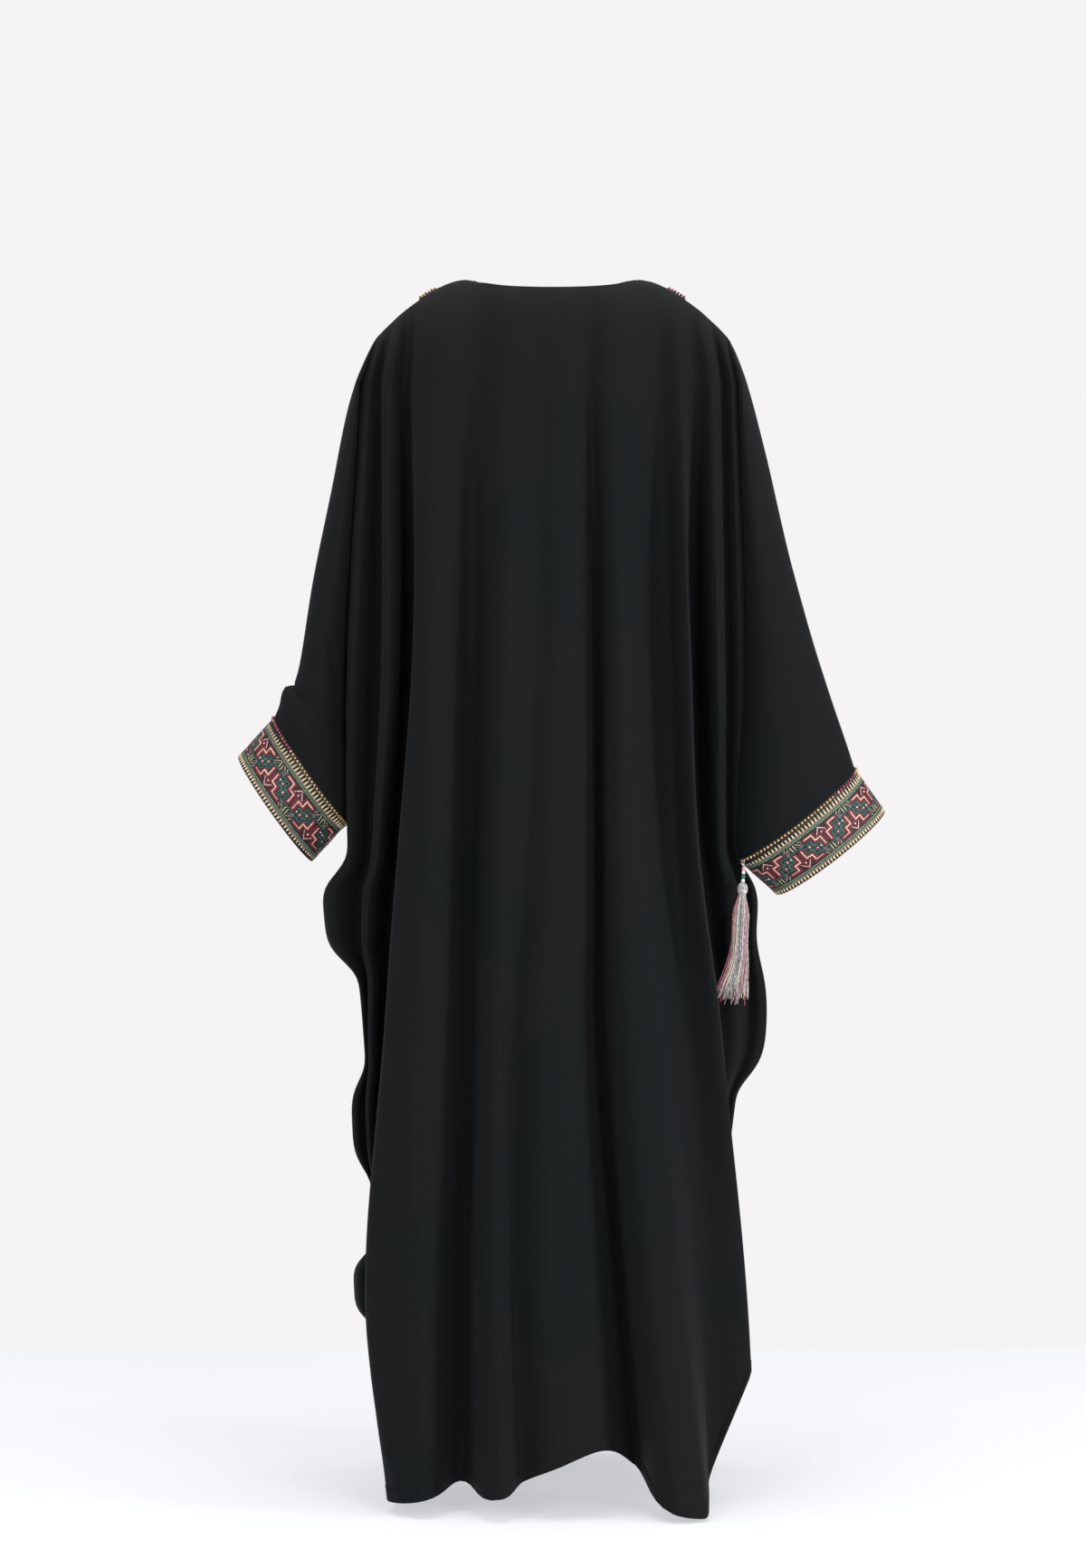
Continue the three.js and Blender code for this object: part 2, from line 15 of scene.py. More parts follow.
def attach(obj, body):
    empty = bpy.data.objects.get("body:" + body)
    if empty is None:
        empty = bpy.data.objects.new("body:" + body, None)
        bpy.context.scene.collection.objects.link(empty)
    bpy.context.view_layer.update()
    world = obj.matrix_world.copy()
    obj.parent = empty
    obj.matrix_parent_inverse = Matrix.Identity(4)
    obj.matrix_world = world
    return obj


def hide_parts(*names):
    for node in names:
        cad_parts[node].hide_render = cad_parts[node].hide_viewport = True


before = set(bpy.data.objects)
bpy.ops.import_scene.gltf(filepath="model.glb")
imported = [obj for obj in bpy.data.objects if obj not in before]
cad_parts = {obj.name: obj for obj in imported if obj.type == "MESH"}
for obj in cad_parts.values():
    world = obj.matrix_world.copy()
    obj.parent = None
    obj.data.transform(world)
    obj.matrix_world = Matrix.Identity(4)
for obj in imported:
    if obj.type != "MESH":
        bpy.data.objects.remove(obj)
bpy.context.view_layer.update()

MM = 0.001

# ---- the cut and the worn shape

CLOTH = 1.2  # wall of the crepe
TRIM = 1.2  # wall of the embroidered bands
SEAM_GAP = 0.3
SEWN_GAP = 0.02  # two panels sewn edge to edge let no light through
CUFF_WIDTH = 65
NECK = {"half_width": 92, "side_drop": 12}
NECK_CURVE = {-1: (-70, 16, 1), 1: (72, 93, 1.5)}  # back and front: way forward, drop and how late it drops
SHOULDER = {"half_width": 212, "drop": 72, "bow": 1.9}

# The panels' rows: over the shoulder crest, down to the cuffs, and from there to the hem.
CREST_ROWS = 3
CUFF_ROW = 12
HEM_ROW = 26
SHOULDER_BAND_ROWS = 5
CREST_REACH = 0.11

ACROSS_LEVELS = [-140, -475, -690, -900, -1200, -1430]  # yoke, elbow, cuff, hip, knee, hem
DEPTH_LEVELS = [-140, -475, -900, -1430]
CUFF_LEVEL = -680

SLEEVES = {
    "left": {
        "side": -1,
        "over_arm": [
            (212, 0, -84), (240, -8, -155), (262, -18, -265), (281, -26, -365),
            (297, -30, -466), (302, -30, -488), (304, -30, -497), (309, -30, -496),
            (315, -30, -497), (319, -29, -504), (322, -26, -518), (328, -22, -532),
        ],
        "inner_end": -655,
        "forearm": (0.66, 0.05, -0.725),
        "belly": 50,
        "taper": 0,
    },
    "right": {
        "side": 1,
        "over_arm": [
            (212, 0, -84), (231, -8, -137), (253, -16, -220), (283, -26, -355),
            (322, -30, -490), (357, -22, -592),
        ],
        "inner_end": -700,
        "forearm": (0.573, 0.208, -0.792),
        "belly": 44,
        "taper": 0.08,
    },
}
ARM_BELLY = 30

# Soft lobes and a hollow of the wings below the cuffs: side, height, reach, half height, suddenness.
WING_LOBES = [
    (-1, -770, 35, 56, 4),
    (-1, -1016, 20, 55, 4),
    (-1, -1211, 26, 42, 4),
    (1, -836, 29, 125, 8),
    (1, -797, -8, 42, 2),
]

# One row for each fold line, from the left side to the right.
BACK_FOLDS = [
    # name, top, across, depth, hem, round, sway
    ("left_seam", -206, (-228, -243, -240, -222, -210, -198), (-50, -46, -36, 0), -1395, 0.6, 1),
    ("arm_ridge", -200, (-216, -234, -236, -221, -207, -195), (-62, -80, -62, -25), -1392, 0.8, 0.8),
    ("arm_furrow", -191, (-205, -209, -217, -216, -205, -192), (-50, -46, -44, -40), -1392, 0.8, 0.3),
    ("side_ridge", -180, (-192, -190, -203, -211, -204, -190), (-76, -100, -84, -78), -1396, 0.9, 0.25),
    ("side_furrow", -168, (-175, -171, -182, -196, -203, -184), (-54, -46, -50, -104), -1410, 0.8, 0.1),
    ("left_edge", -150, (-157, -161, -177, -192, -212, -187), (-90, -132, -172, -215), -1431, 0.5, 0),
    ("left_flank", -118, (-129, -129, -134, -139, -144, -145), (-104, -148, -196, -256), -1424, 1, 0),
    ("left_furrow", -86, (-93, -95, -97, -98, -103, -106), (-98, -102, -140, -205), -1410, 0.6, 0),
    ("left_swell", -54, (-54, -57, -60, -64, -66, -58), (-112, -150, -204, -285), -1418, 1, 0),
    ("middle_furrow", -22, (-15, -20, -30, -46, -44, -34), (-110, -140, -186, -254), -1404, 0.7, 0),
    ("middle_swell", 6, (8, 6, 0, -10, -8, 6), (-112, -148, -200, -276), -1386, 1, 0),
    ("right_slope", 28, (30, 34, 35, 34, 48, 62), (-108, -140, -188, -258), -1368, 1, 0),
    ("right_furrow", 50, (44, 52, 54, 54, 78, 98), (-98, -99, -138, -200), -1393, 0.6, 0),
    ("right_swell", 73, (66, 75, 77, 83, 111, 136), (-108, -148, -202, -284), -1434, 1, 0),
    ("long_crease", 97, (88, 93, 98, 119, 146, 172), (-104, -144, -200, -272), -1441, 0.4, 0),
    ("edge_furrow", 122, (126, 138, 143, 155, 174, 180), (-80, -92, -146, -176), -1412, 0.7, 0),
    ("right_edge", 146, (150, 158, 167, 194, 224, 234), (-90, -134, -160, -140), -1292, 0.4, 0),
    ("deep_furrow", 162, (171, 169, 175, 192, 197, 194), (-66, -32, -58, -36), -1300, 0.8, 0.1),
    ("arm_swell", 176, (189, 194, 198, 206, 196, 190), (-76, -78, -58, -28), -1302, 0.9, 0.35),
    ("arm_crease", 188, (203, 209, 208, 213, 194, 187), (-52, -44, -38, -14), -1303, 0.7, 0.6),
    ("sleeve_ridge", 197, (212, 221, 216, 221, 193, 185), (-66, -64, -42, -5), -1304, 0.8, 0.8),
    ("right_seam", 206, (220, 228, 215, 224, 192, 184), (-54, -52, -38, 5), -1305, 0.6, 1),
]
FRONT_FOLDS = [
    ("left_seam", -206, (-220, -228, -240, -222, -210, -198), (26, 26, -36, 0), -1395, 0.6, 1),
    ("left_arm_swell", -197, (-212, -218, -216, -212, -198, -190), (36, 46, 4, 34), -1396, 0.9, 0.7),
    ("left_deep_furrow", -180, (-194, -191, -196, -202, -192, -180), (18, 18, 0, 22), -1398, 0.8, 0.3),
    ("left_front_edge", -158, (-160, -160, -170, -182, -194, -190), (52, 88, 112, 150), -1404, 0.5, 0),
    ("left_front_furrow", -98, (-98, -100, -106, -112, -122, -128), (66, 112, 138, 184), -1398, 1, 0),
    ("left_front_swell", -62, (-62, -64, -68, -72, -80, -84), (74, 128, 162, 228), -1410, 1, 0),
    ("left_front_slope", -30, (-30, -30, -34, -36, -40, -44), (73, 125, 152, 205), -1396, 1, 0),
    ("front_swell", 2, (0, 2, 4, 4, 6, 8), (76, 134, 170, 240), -1402, 1, 0),
    ("right_front_slope", 34, (32, 36, 38, 40, 48, 52), (73, 126, 152, 208), -1392, 1, 0),
    ("right_front_swell", 66, (64, 68, 74, 78, 86, 92), (74, 128, 160, 230), -1404, 1, 0),
    ("right_front_furrow", 98, (98, 104, 112, 118, 130, 138), (66, 112, 136, 184), -1390, 1, 0),
    ("right_front_edge", 158, (160, 164, 174, 184, 200, 206), (52, 90, 110, 140), -1372, 0.5, 0),
    ("right_deep_furrow", 180, (192, 191, 198, 204, 194, 184), (18, 16, -4, 20), -1330, 0.8, 0.3),
    ("right_arm_swell", 197, (210, 212, 211, 214, 194, 186), (34, 42, 0, 20), -1312, 0.9, 0.7),
    ("right_seam", 206, (218, 224, 215, 224, 192, 184), (26, 26, -38, 5), -1305, 0.6, 1),
]

# Smaller creases pressed into the cloth: panel, width, depth (minus for a trough), and the line (across, up).
CREASES = [
    ("back", 9, -3.5, [(-268, -418), (-258, -452), (-252, -500), (-250, -560)]),
    ("back", 12, 3.5, [(-306, -492), (-285, -500), (-262, -512), (-244, -530)]),
    ("back", 10, -3.0, [(-300, -512), (-278, -522), (-258, -540), (-246, -566)]),
    ("back", 11, 2.4, [(-316, -530), (-290, -552), (-268, -584), (-254, -622)]),
    ("back", 7, 3.0, [(-195, -1340), (-188, -1372), (-179, -1400), (-172, -1424)]),
    ("back", 6, -2.6, [(-182, -1350), (-173, -1385), (-165, -1422)]),
    ("back", 5, -2.2, [(-77, -1335), (-75, -1380), (-71, -1418)]),
    ("back", 6, 1.8, [(-62, -1350), (-58, -1385), (-57, -1422)]),
]

# Rows and columns of the fine grid.
CREST_STEPS = 9
ARM_STEPS = 66
SKIRT_STEPS = 98
FOLD_STEPS = 7
SLEEVE_TURNS = 26

HEM_TURN = 15
NECK_TURN = 8
SKIRT_ROW_HEIGHT = 53
TURNED = 0.45  # how much thicker each face is where the edge is turned in


def lerp(a, b, t):
    return a + (b - a) * t


def at_height(levels, values, height):
    """A smooth curve through values given at falling heights, read at one height."""
    last = len(levels) - 1
    i = 0
    while i < last - 1 and height < levels[i + 1]:
        i += 1

    def slope(k):
        a, b = max(k - 1, 0), min(k + 1, last)
        return (values[b] - values[a]) / (levels[b] - levels[a])

    span = levels[i + 1] - levels[i]
    t = min(max((height - levels[i]) / span, 0), 1)
    rise = values[i + 1] - values[i]
    start, end = slope(i) * span, slope(i + 1) * span
    return values[i] + t * (start + t * (3 * rise - 2 * start - end + t * (start + end - 2 * rise)))


def top_edge(across, facing):
    """The top edge of a panel: the neck curve in the middle, the shoulder line outside it."""
    out = abs(across)
    if out >= NECK["half_width"]:
        t = (out - NECK["half_width"]) / (SHOULDER["half_width"] - NECK["half_width"])
        return Vector((across, 0, -NECK["side_drop"] - SHOULDER["drop"] * t ** SHOULDER["bow"]))
    curve = math.sqrt(1 - (across / NECK["half_width"]) ** 2)
    forward, drop, late = NECK_CURVE[facing]
    return Vector((across, forward * curve, -NECK["side_drop"] - drop * curve**late))


def wing_reach(side, height):
    reach = 0
    for lobe_side, at, out, half, power in WING_LOBES:
        if lobe_side == side:
            reach += out * math.exp(-((abs(height - at) / half) ** power))
    return reach * side


def named_fold(fold):
    named = dict(zip(("name", "top", "across", "depth", "hem", "round", "sway"), fold))
    return {**named, "side": 1 if named["top"] > 0 else -1}


back = [named_fold(fold) for fold in BACK_FOLDS]
front = [named_fold(fold) for fold in FRONT_FOLDS]
SEAM_FOLDS = {-1: back[0], 1: back[-1]}


def fold_point(fold, height):
    across = at_height(ACROSS_LEVELS, fold["across"], height)
    depth = at_height(DEPTH_LEVELS, fold["depth"], height)
    return Vector((across + fold["sway"] * wing_reach(fold["side"], height), depth, height))


def cuff_height(fold):
    sleeve = SLEEVES["left" if fold["side"] < 0 else "right"]
    return CUFF_LEVEL + fold["sway"] * (sleeve["inner_end"] - CUFF_LEVEL)


def fold_at_row(fold, row, facing):
    if row <= CREST_ROWS:
        top = top_edge(fold["top"], facing)
        yoke = fold_point(fold, ACROSS_LEVELS[0])
        turn = row / CREST_ROWS * math.pi / 2
        shares = (1 - math.cos(turn), math.sin(turn), 1 - math.cos(turn))
        return Vector([lerp(*ends) for ends in zip(top, yoke, shares)])
    if row < CUFF_ROW:
        t = (row - CREST_ROWS) / (CUFF_ROW - CREST_ROWS)
        return fold_point(fold, lerp(ACROSS_LEVELS[0], cuff_height(fold), t))
    t = (row - CUFF_ROW) / (HEM_ROW - CUFF_ROW)
    height = lerp(cuff_height(fold), fold["hem"], t)
    return fold_point(SEAM_FOLDS[fold["side"]] if fold["sway"] == 1 else fold, height)


def cuff_ring(sleeve):
    """The cuff's ring: its middle, half chord, belly and the way the forearm points."""
    inner = fold_point(SEAM_FOLDS[sleeve["side"]], sleeve["inner_end"])
    out, forward, up = sleeve["over_arm"][-1]
    chord = (Vector((out * sleeve["side"], forward, up)) - inner) / 2
    x, y, z = sleeve["forearm"]
    forearm = Vector((x * sleeve["side"], y, z)).normalized()
    belly = forearm.cross(chord).normalized()
    if belly.y < 0:
        belly.negate()
    ring = {"middle": inner + chord, "chord": chord, "belly": belly * sleeve["belly"]}
    return {**ring, "forearm": forearm, "taper": sleeve["taper"]}


def ring_point(ring, turn, along):
    """A point of the cuff, a turn round from its inner end and a way along the forearm."""
    drawn_in = ring["taper"] * along / CUFF_WIDTH
    round_ = ring["chord"] * (drawn_in - math.cos(turn) * (1 - drawn_in))
    bulge = ring["belly"] * (math.sin(turn) * (1 - drawn_in))
    return ring["middle"] + round_ + bulge + ring["forearm"] * along


def over_arm_line(sleeve):
    """The line over the arm as many points evenly spaced along a centripetal curve."""
    knots = [Vector((out * sleeve["side"], forward, up)) for out, forward, up in sleeve["over_arm"]]
    knots = [knots[0] * 2 - knots[1], *knots, knots[-1] * 2 - knots[-2]]
    dense = []
    for p0, p1, p2, p3 in zip(knots, knots[1:], knots[2:], knots[3:]):
        d0, d1, d2 = ((b - a).length ** 0.5 for a, b in ((p0, p1), (p1, p2), (p2, p3)))
        m1 = ((p1 - p0) / d0 - (p2 - p0) / (d0 + d1) + (p2 - p1) / d1) * d1
        m2 = ((p2 - p1) / d1 - (p3 - p1) / (d1 + d2) + (p3 - p2) / d2) * d1
        for k in range(60):
            t = k / 60
            dense.append(p1 + t * (m1 + t * (3 * (p2 - p1) - 2 * m1 - m2 + t * (m1 + m2 - 2 * (p2 - p1)))))
    dense.append(knots[-2])
    reach = np.concatenate([[0], np.cumsum([(b - a).length for a, b in zip(dense, dense[1:])])])
    return np.array(dense), reach / reach[-1]


OVER_ARM = {name: over_arm_line(sleeve) for name, sleeve in SLEEVES.items()}


def read_at(where, reach, values):
    """A line's value at one length along it."""
    return Vector([float(np.interp(where, reach, values[:, k])) for k in range(3)])


def over_arm_at(name, share):
    points, reach = OVER_ARM[name]
    return read_at(share, reach, points)


def arm_share(row):
    if row <= CREST_ROWS:
        return CREST_REACH * row / CREST_ROWS
    return CREST_REACH + (1 - CREST_REACH) * (row - CREST_ROWS) / (CUFF_ROW - CREST_ROWS)


def lengths_along(points):
    """How far along a line each of its points lies."""
    return np.concatenate([[0], np.cumsum(np.linalg.norm(np.diff(points, axis=0), axis=1))])


def smoothstep(value, low, high):
    t = min(max((value - low) / (high - low), 0), 1)
    return t * t * (3 - 2 * t)


# The seam along the arm has a close pair of columns beside it.
sleeve_turns = [math.pi * i / SLEEVE_TURNS for i in range(SLEEVE_TURNS)] + [math.pi * 0.985, math.pi]
SLEEVE_COLUMNS = len(sleeve_turns) - 1
CUFF_HOLD = 0.6  # rows above a cuff over which drift and creases fade out
CREST_HOLD = 1.2  # rows below the neck and shoulder seam over which they do


def sleeve_arc(name, row, crease, facing):
    """Half of the sleeve in one row, from its inner crease round to the line over the arm."""
    outer = over_arm_at(name, arm_share(row))
    middle, half = (crease + outer) / 2, (outer - crease) / 2
    crest = math.sin(min(row, CREST_ROWS) / CREST_ROWS * math.pi / 2)
    cuff_belly = cuff_ring(SLEEVES[name])["belly"]
    belly = Vector((0, ARM_BELLY * crest, 0)).lerp(cuff_belly, smoothstep(row, CREST_ROWS, CUFF_ROW))
    return [middle - half * math.cos(turn) + belly * facing * math.sin(turn) for turn in sleeve_turns]


def section_through(points, folds, steps):
    """One smooth curve through a row's fold points, each turned as roundly as its fold says."""
    chords = [b - a for a, b in zip(points, points[1:])]
    directions = []
    for i in range(len(points)):
        before, after = chords[max(i - 1, 0)], chords[min(i, len(chords) - 1)]
        directions.append((before.normalized() + after.normalized()).normalized())
    section = [points[0].copy()]
    for i, chord in enumerate(chords):
        reach = chord.length
        start = directions[i] * reach * folds[i]["round"]
        end = directions[i + 1] * reach * folds[i + 1]["round"]
        for k in range(1, steps + 1):
            t = k / steps
            section.append(
                points[i] * (1 - 3 * t * t + 2 * t**3)
                + points[i + 1] * (3 * t * t - 2 * t**3)
                + start * (t - 2 * t * t + t**3)
                + end * (t**3 - t * t)
            )
    return section


def row_values():
    """The fine grid's rows, closer together at the neck and along the turned hem."""
    crest = [CREST_ROWS * k / CREST_STEPS for k in range(CREST_STEPS)]
    arm = [lerp(CREST_ROWS, CUFF_ROW, k / ARM_STEPS) for k in range(ARM_STEPS)]
    hem_turn = HEM_TURN / SKIRT_ROW_HEIGHT
    skirt = [lerp(CUFF_ROW, HEM_ROW - hem_turn, k / SKIRT_STEPS) for k in range(SKIRT_STEPS)]
    hem = [HEM_ROW - hem_turn, HEM_ROW - hem_turn * 0.93, HEM_ROW - hem_turn / 2, HEM_ROW - 0.03, HEM_ROW]
    return [*crest[:1], 0.16, 0.32, *crest[1:], *arm, *skirt, *hem]


ROWS = row_values()
CUFF_INDEX = ROWS.index(CUFF_ROW)


def panel_rows(folds, facing):
    rows = []
    for row in ROWS:
        points = [fold_at_row(fold, row, facing) for fold in folds]
        body = section_through(points, folds, FOLD_STEPS)
        if row == 0:
            body = [top_edge(point.x, facing) for point in body]
        if row > CUFF_ROW:
            rows.append(body)
            continue
        left = sleeve_arc("left", row, points[0], facing)[::-1]
        right = sleeve_arc("right", row, points[-1], facing)
        rows.append([*left[:-1], *body, *right[1:]])
    return rows


# ---- meshes


def grid_quads(index, facing, shifts):
    """The quads of a grid of numbered points, wound so that they face the given way."""
    quads = []
    for r in range(len(index) - 1):
        for c in range(len(index[r + 1]) - 1):
            a, b = index[r][c + shifts[r]], index[r][c + shifts[r] + 1]
            d, e = index[r + 1][c], index[r + 1][c + 1]
            quads.append((a, b, e, d) if facing > 0 else (a, d, e, b))
    return quads


def point_normals(points, quads):
    q = np.array(quads)
    across = points[q[:, 2]] - points[q[:, 0]]
    down = points[q[:, 3]] - points[q[:, 1]]
    faces = np.cross(across, down)
    normals = np.zeros_like(points)
    for k in range(4):
        np.add.at(normals, q[:, k], faces)
    return normals / np.linalg.norm(normals, axis=1, keepdims=True)


def drift(points):
    """The slight unevenness of hanging cloth: long, low waves, the same for both panels where they meet."""
    out = np.empty(len(points))
    for i, (x, y, z) in enumerate(points):
        slow = noise.noise(Vector((x / 70, y / 70, z / 330)))
        quick = noise.noise(Vector((x / 24 + 7, y / 24, z / 150)))
        out[i] = 1.5 * slow + 0.45 * quick
    return out


def creased(points, panel):
    """How far the small creases move each point along its normal."""
    out = np.zeros(len(points))
    flat = points[:, [0, 2]]
    for name, width, depth, line in CREASES:
        if name != panel:
            continue
        nearest = np.full(len(points), 1e9)
        share = np.zeros(len(points))
        line = np.array(line, float)
        reach = lengths_along(line)
        for k in range(len(line) - 1):
            step = line[k + 1] - line[k]
            t = np.clip((flat - line[k]) @ step / (step @ step), 0, 1)
            away = np.linalg.norm(flat - line[k] - t[:, None] * step, axis=1)
            closer = away < nearest
            nearest[closer] = away[closer]
            share[closer] = ((reach[k] + t * (reach[k + 1] - reach[k])) / reach[-1])[closer]
        fade = np.sin(np.pi * np.clip(share, 0.02, 0.98)) ** 0.6
        out += depth * fade * np.exp(-((nearest / width) ** 2) * 2)
    return out


def new_object(name, points, faces, materials, kinds=None, uvs=None):
    """A smooth mesh object in metres from points in millimetres. Kinds say which material each face has."""
    mesh = bpy.data.meshes.new(name)
    mesh.from_pydata((np.asarray(points) * MM).tolist(), [], faces)
    for material in materials:
        mesh.materials.append(material)
    mesh.polygons.foreach_set("use_smooth", [True] * len(mesh.polygons))
    if kinds is not None:
        mesh.polygons.foreach_set("material_index", kinds)
    if uvs is not None:
        layer = mesh.uv_layers.new(name="cut")
        loops = np.zeros(len(mesh.loops), np.int32)
        mesh.loops.foreach_get("vertex_index", loops)
        layer.data.foreach_set("uv", (np.asarray(uvs)[loops] * MM).astype(np.float32).ravel())
    mesh.update()
    piece = bpy.data.objects.new(name, mesh)
    bpy.context.scene.collection.objects.link(piece)
    return piece


def wall(name, points, quads, normals, inner, outer, material, uvs):
    """A closed wall between two offsets of a surface. The outer faces come first."""
    count = len(points)
    both = np.concatenate([points + normals * np.reshape(offset, (-1, 1)) for offset in (outer, inner)])
    faces = list(quads) + [tuple(i + count for i in reversed(quad)) for quad in quads]
    edges = {edge: True for quad in quads for edge in zip(quad, (*quad[1:], quad[0]))}
    faces += [(b, a, a + count, b + count) for a, b in edges if (b, a) not in edges]
    return new_object(name, both, faces, [material], uvs=np.concatenate([uvs, uvs]))


def select_only(piece):
    bpy.ops.object.select_all(action="DESELECT")
    piece.select_set(True)
    bpy.context.view_layer.objects.active = piece


def sharpen(piece, degrees=40):
    select_only(piece)
    bpy.ops.object.shade_smooth_by_angle(angle=math.radians(degrees))


def place_here(piece):
    """Moves a piece's place into its mesh."""
    select_only(piece)
    bpy.ops.object.transform_apply(location=True, rotation=True, scale=True)


def added(primitive, **settings):
    """A simple shape at the origin, alone selected."""
    bpy.ops.object.select_all(action="DESELECT")
    primitive(location=(0, 0, 0), **settings)
    return bpy.context.object


def reshape(operator, **settings):
    """Works one tool on the whole mesh of the shape just added."""
    bpy.ops.object.mode_set(mode="EDIT")
    bpy.ops.mesh.select_all(action="SELECT")
    operator(**settings)
    bpy.ops.object.mode_set(mode="OBJECT")


def joined(name, parts, materials):
    """One object of many parts, each (points, faces, which of the materials)."""
    points, faces, kinds = [], [], []
    start = 0
    for part_points, part_faces, kind in parts:
        points.append(np.array(part_points))
        faces += [tuple(i + start for i in face) for face in part_faces]
        kinds += [kind] * len(part_faces)
        start += len(part_points)
    return new_object(name, np.concatenate(points), faces, materials, kinds)


def copies(name, model, frames, materials, kinds=None):
    """Many copies of a small model. A frame is (place, across, along, up, size), in millimetres."""
    points = np.array([v.co for v in model.data.vertices])
    faces = [tuple(p.vertices) for p in model.data.polygons]
    parts = []
    for (place, *turn, size), kind in zip(frames, kinds or [0] * len(frames)):
        parts.append((points @ (np.array(turn) * size) + np.array(place), faces, kind))
    bpy.data.objects.remove(model)
    return joined(name, parts, materials)


# ---- materials


def linear(hex_colour):
    """An sRGB hex colour as linear red, green, blue and alpha."""
    values = [int(hex_colour[k : k + 2], 16) / 255 for k in (1, 3, 5)]
    return (*[v / 12.92 if v <= 0.04045 else ((v + 0.055) / 1.055) ** 2.4 for v in values], 1)


def add_node(tree, kind, settings=None, links=None):
    """Adds a node, sets its properties or sockets by name, and links its inputs from nodes or sockets."""
    node = tree.nodes.new("ShaderNode" + kind)
    for key, value in (settings or {}).items():
        if hasattr(node, str(key)):
            setattr(node, key, value)
        else:
            node.inputs[key].default_value = value
    for key, source in (links or {}).items():
        tree.links.new(getattr(source, "outputs", [source])[0], node.inputs[key])
    return node


def new_material(name):
    material = bpy.data.materials.new(name)
    material.use_nodes = True
    material.node_tree.nodes.clear()
    return material, material.node_tree


def own_place(tree):
    return add_node(tree, "TexCoord").outputs["Object"]


def colour_ramp(tree, pattern, low, dark, high, light):
    node = add_node(tree, "ValToRGB", links={"Fac": pattern})
    for element, position, colour in zip(node.color_ramp.elements, (low, high), (dark, light)):
        element.position = position
        element.color = linear(colour)
    return node


def slanting_rows(tree, place, scale, distortion):
    settings = {"wave_type": "BANDS", "bands_direction": "DIAGONAL", "Scale": scale, "Distortion": distortion}
    return add_node(tree, "TexWave", {**settings, "Detail": 1.0}, {"Vector": place}).outputs[1]


def blend(tree, share, first, second):
    return add_node(tree, "Mix", {"data_type": "FLOAT", "Factor": share}, {2: first, 3: second})


def shaded(tree, colour, pattern, low, high):
    """A colour made darker and lighter by a pattern."""
    shade = add_node(tree, "MapRange", {"To Min": low, "To Max": high}, {"Value": pattern})
    settings = {"data_type": "RGBA", "blend_type": "MULTIPLY", "Factor": 1.0}
    return add_node(tree, "Mix", settings, {6: colour, 7: shade}).outputs[2]


def raised(tree, pattern, strength, distance):
    return add_node(tree, "Bump", {"Strength": strength, "Distance": distance}, {"Height": pattern})


def surface(tree, colour, bump=None, **settings):
    """The material's one shader and its output. Settings are the sockets' names with _ for a space."""
    named = {key.replace("_", " "): value for key, value in settings.items()}
    links = {"Base Color": colour, **({"Normal": bump} if bump else {})}
    add_node(tree, "OutputMaterial", links={0: add_node(tree, "BsdfPrincipled", named, links)})


def black_crepe():
    """Polyester crepe, woven from twisted yarn and dyed black: matte, with a fine pebbled grain and a faint
    sheen where it turns away. The grain is drawn at 1.1 mm, coarser than the real 0.4 mm, so it shows."""
    material, tree = new_material("crepe_black_woven")
    cut = add_node(tree, "UVMap", {"uv_map": "cut"})
    grain = add_node(tree, "Mapping", {"Scale": (900, 620, 900)}, {"Vector": cut})
    pebble = add_node(tree, "TexNoise", {"Scale": 1.0, "Detail": 2.0, "Roughness": 0.6}, {"Vector": grain})
    thread = blend(tree, 0.4, pebble, slanting_rows(tree, grain, 0.5, 2.5))
    uneven = {"Scale": 3.2, "Detail": 3.0, "Roughness": 0.5}
    patches = add_node(tree, "TexNoise", uneven, {"Vector": own_place(tree)})
    tint = colour_ramp(tree, patches, 0.36, "#0d1213", 0.64, "#141213")
    surface(
        tree,
        shaded(tree, tint, thread, 0.86, 1.14),
        raised(tree, thread, 0.22, 0.0004),
        Roughness=0.82,
        IOR=1.45,
        Specular_IOR_Level=0.1,
        Sheen_Weight=0.03,
        Sheen_Roughness=0.45,
        Sheen_Tint=linear("#c9d2da"),
    )
    return material


def embroidery():
    """Rayon thread in dense machine embroidery: a soft satin light along each stitch, drawn as slanting
    stitches 0.9 mm apart. The thread colours are on the piece."""
    material, tree = new_material("rayon_thread_embroidered")
    thread = add_node(tree, "VertexColor", {"layer_name": "thread"})
    cut = add_node(tree, "UVMap", {"uv_map": "cut"})
    fuzz = add_node(tree, "TexNoise", {"Scale": 1400, "Detail": 1.0}, {"Vector": cut})
    both = blend(tree, 0.35, slanting_rows(tree, cut, 175, 1.2), fuzz)
    colour = shaded(tree, thread, both, 0.78, 1.12)
    bump = raised(tree, both, 0.5, 0.0003)
    surface(tree, colour, bump, Roughness=0.55, IOR=1.5, Specular_IOR_Level=0.3, Sheen_Weight=0.08)
    return material


def spun_thread(name, dark, light, roughness=0.45, shine=0.5):
    """Twisted viscose thread: a silky line of light that breaks up along each strand."""
    material, tree = new_material(name)
    twist = add_node(tree, "Mapping", {"Scale": (700, 700, 260)}, {"Vector": own_place(tree)})
    strand = add_node(tree, "TexNoise", {"Scale": 1.0, "Detail": 2.0}, {"Vector": twist})
    colour = colour_ramp(tree, strand, 0.3, dark, 0.7, light)
    bump = raised(tree, strand, 0.3, 0.0002)
    satin = {"Specular_IOR_Level": shine, "Sheen_Weight": shine * 0.3}
    surface(tree, colour, bump, Roughness=roughness, IOR=1.5, **satin)
    return material


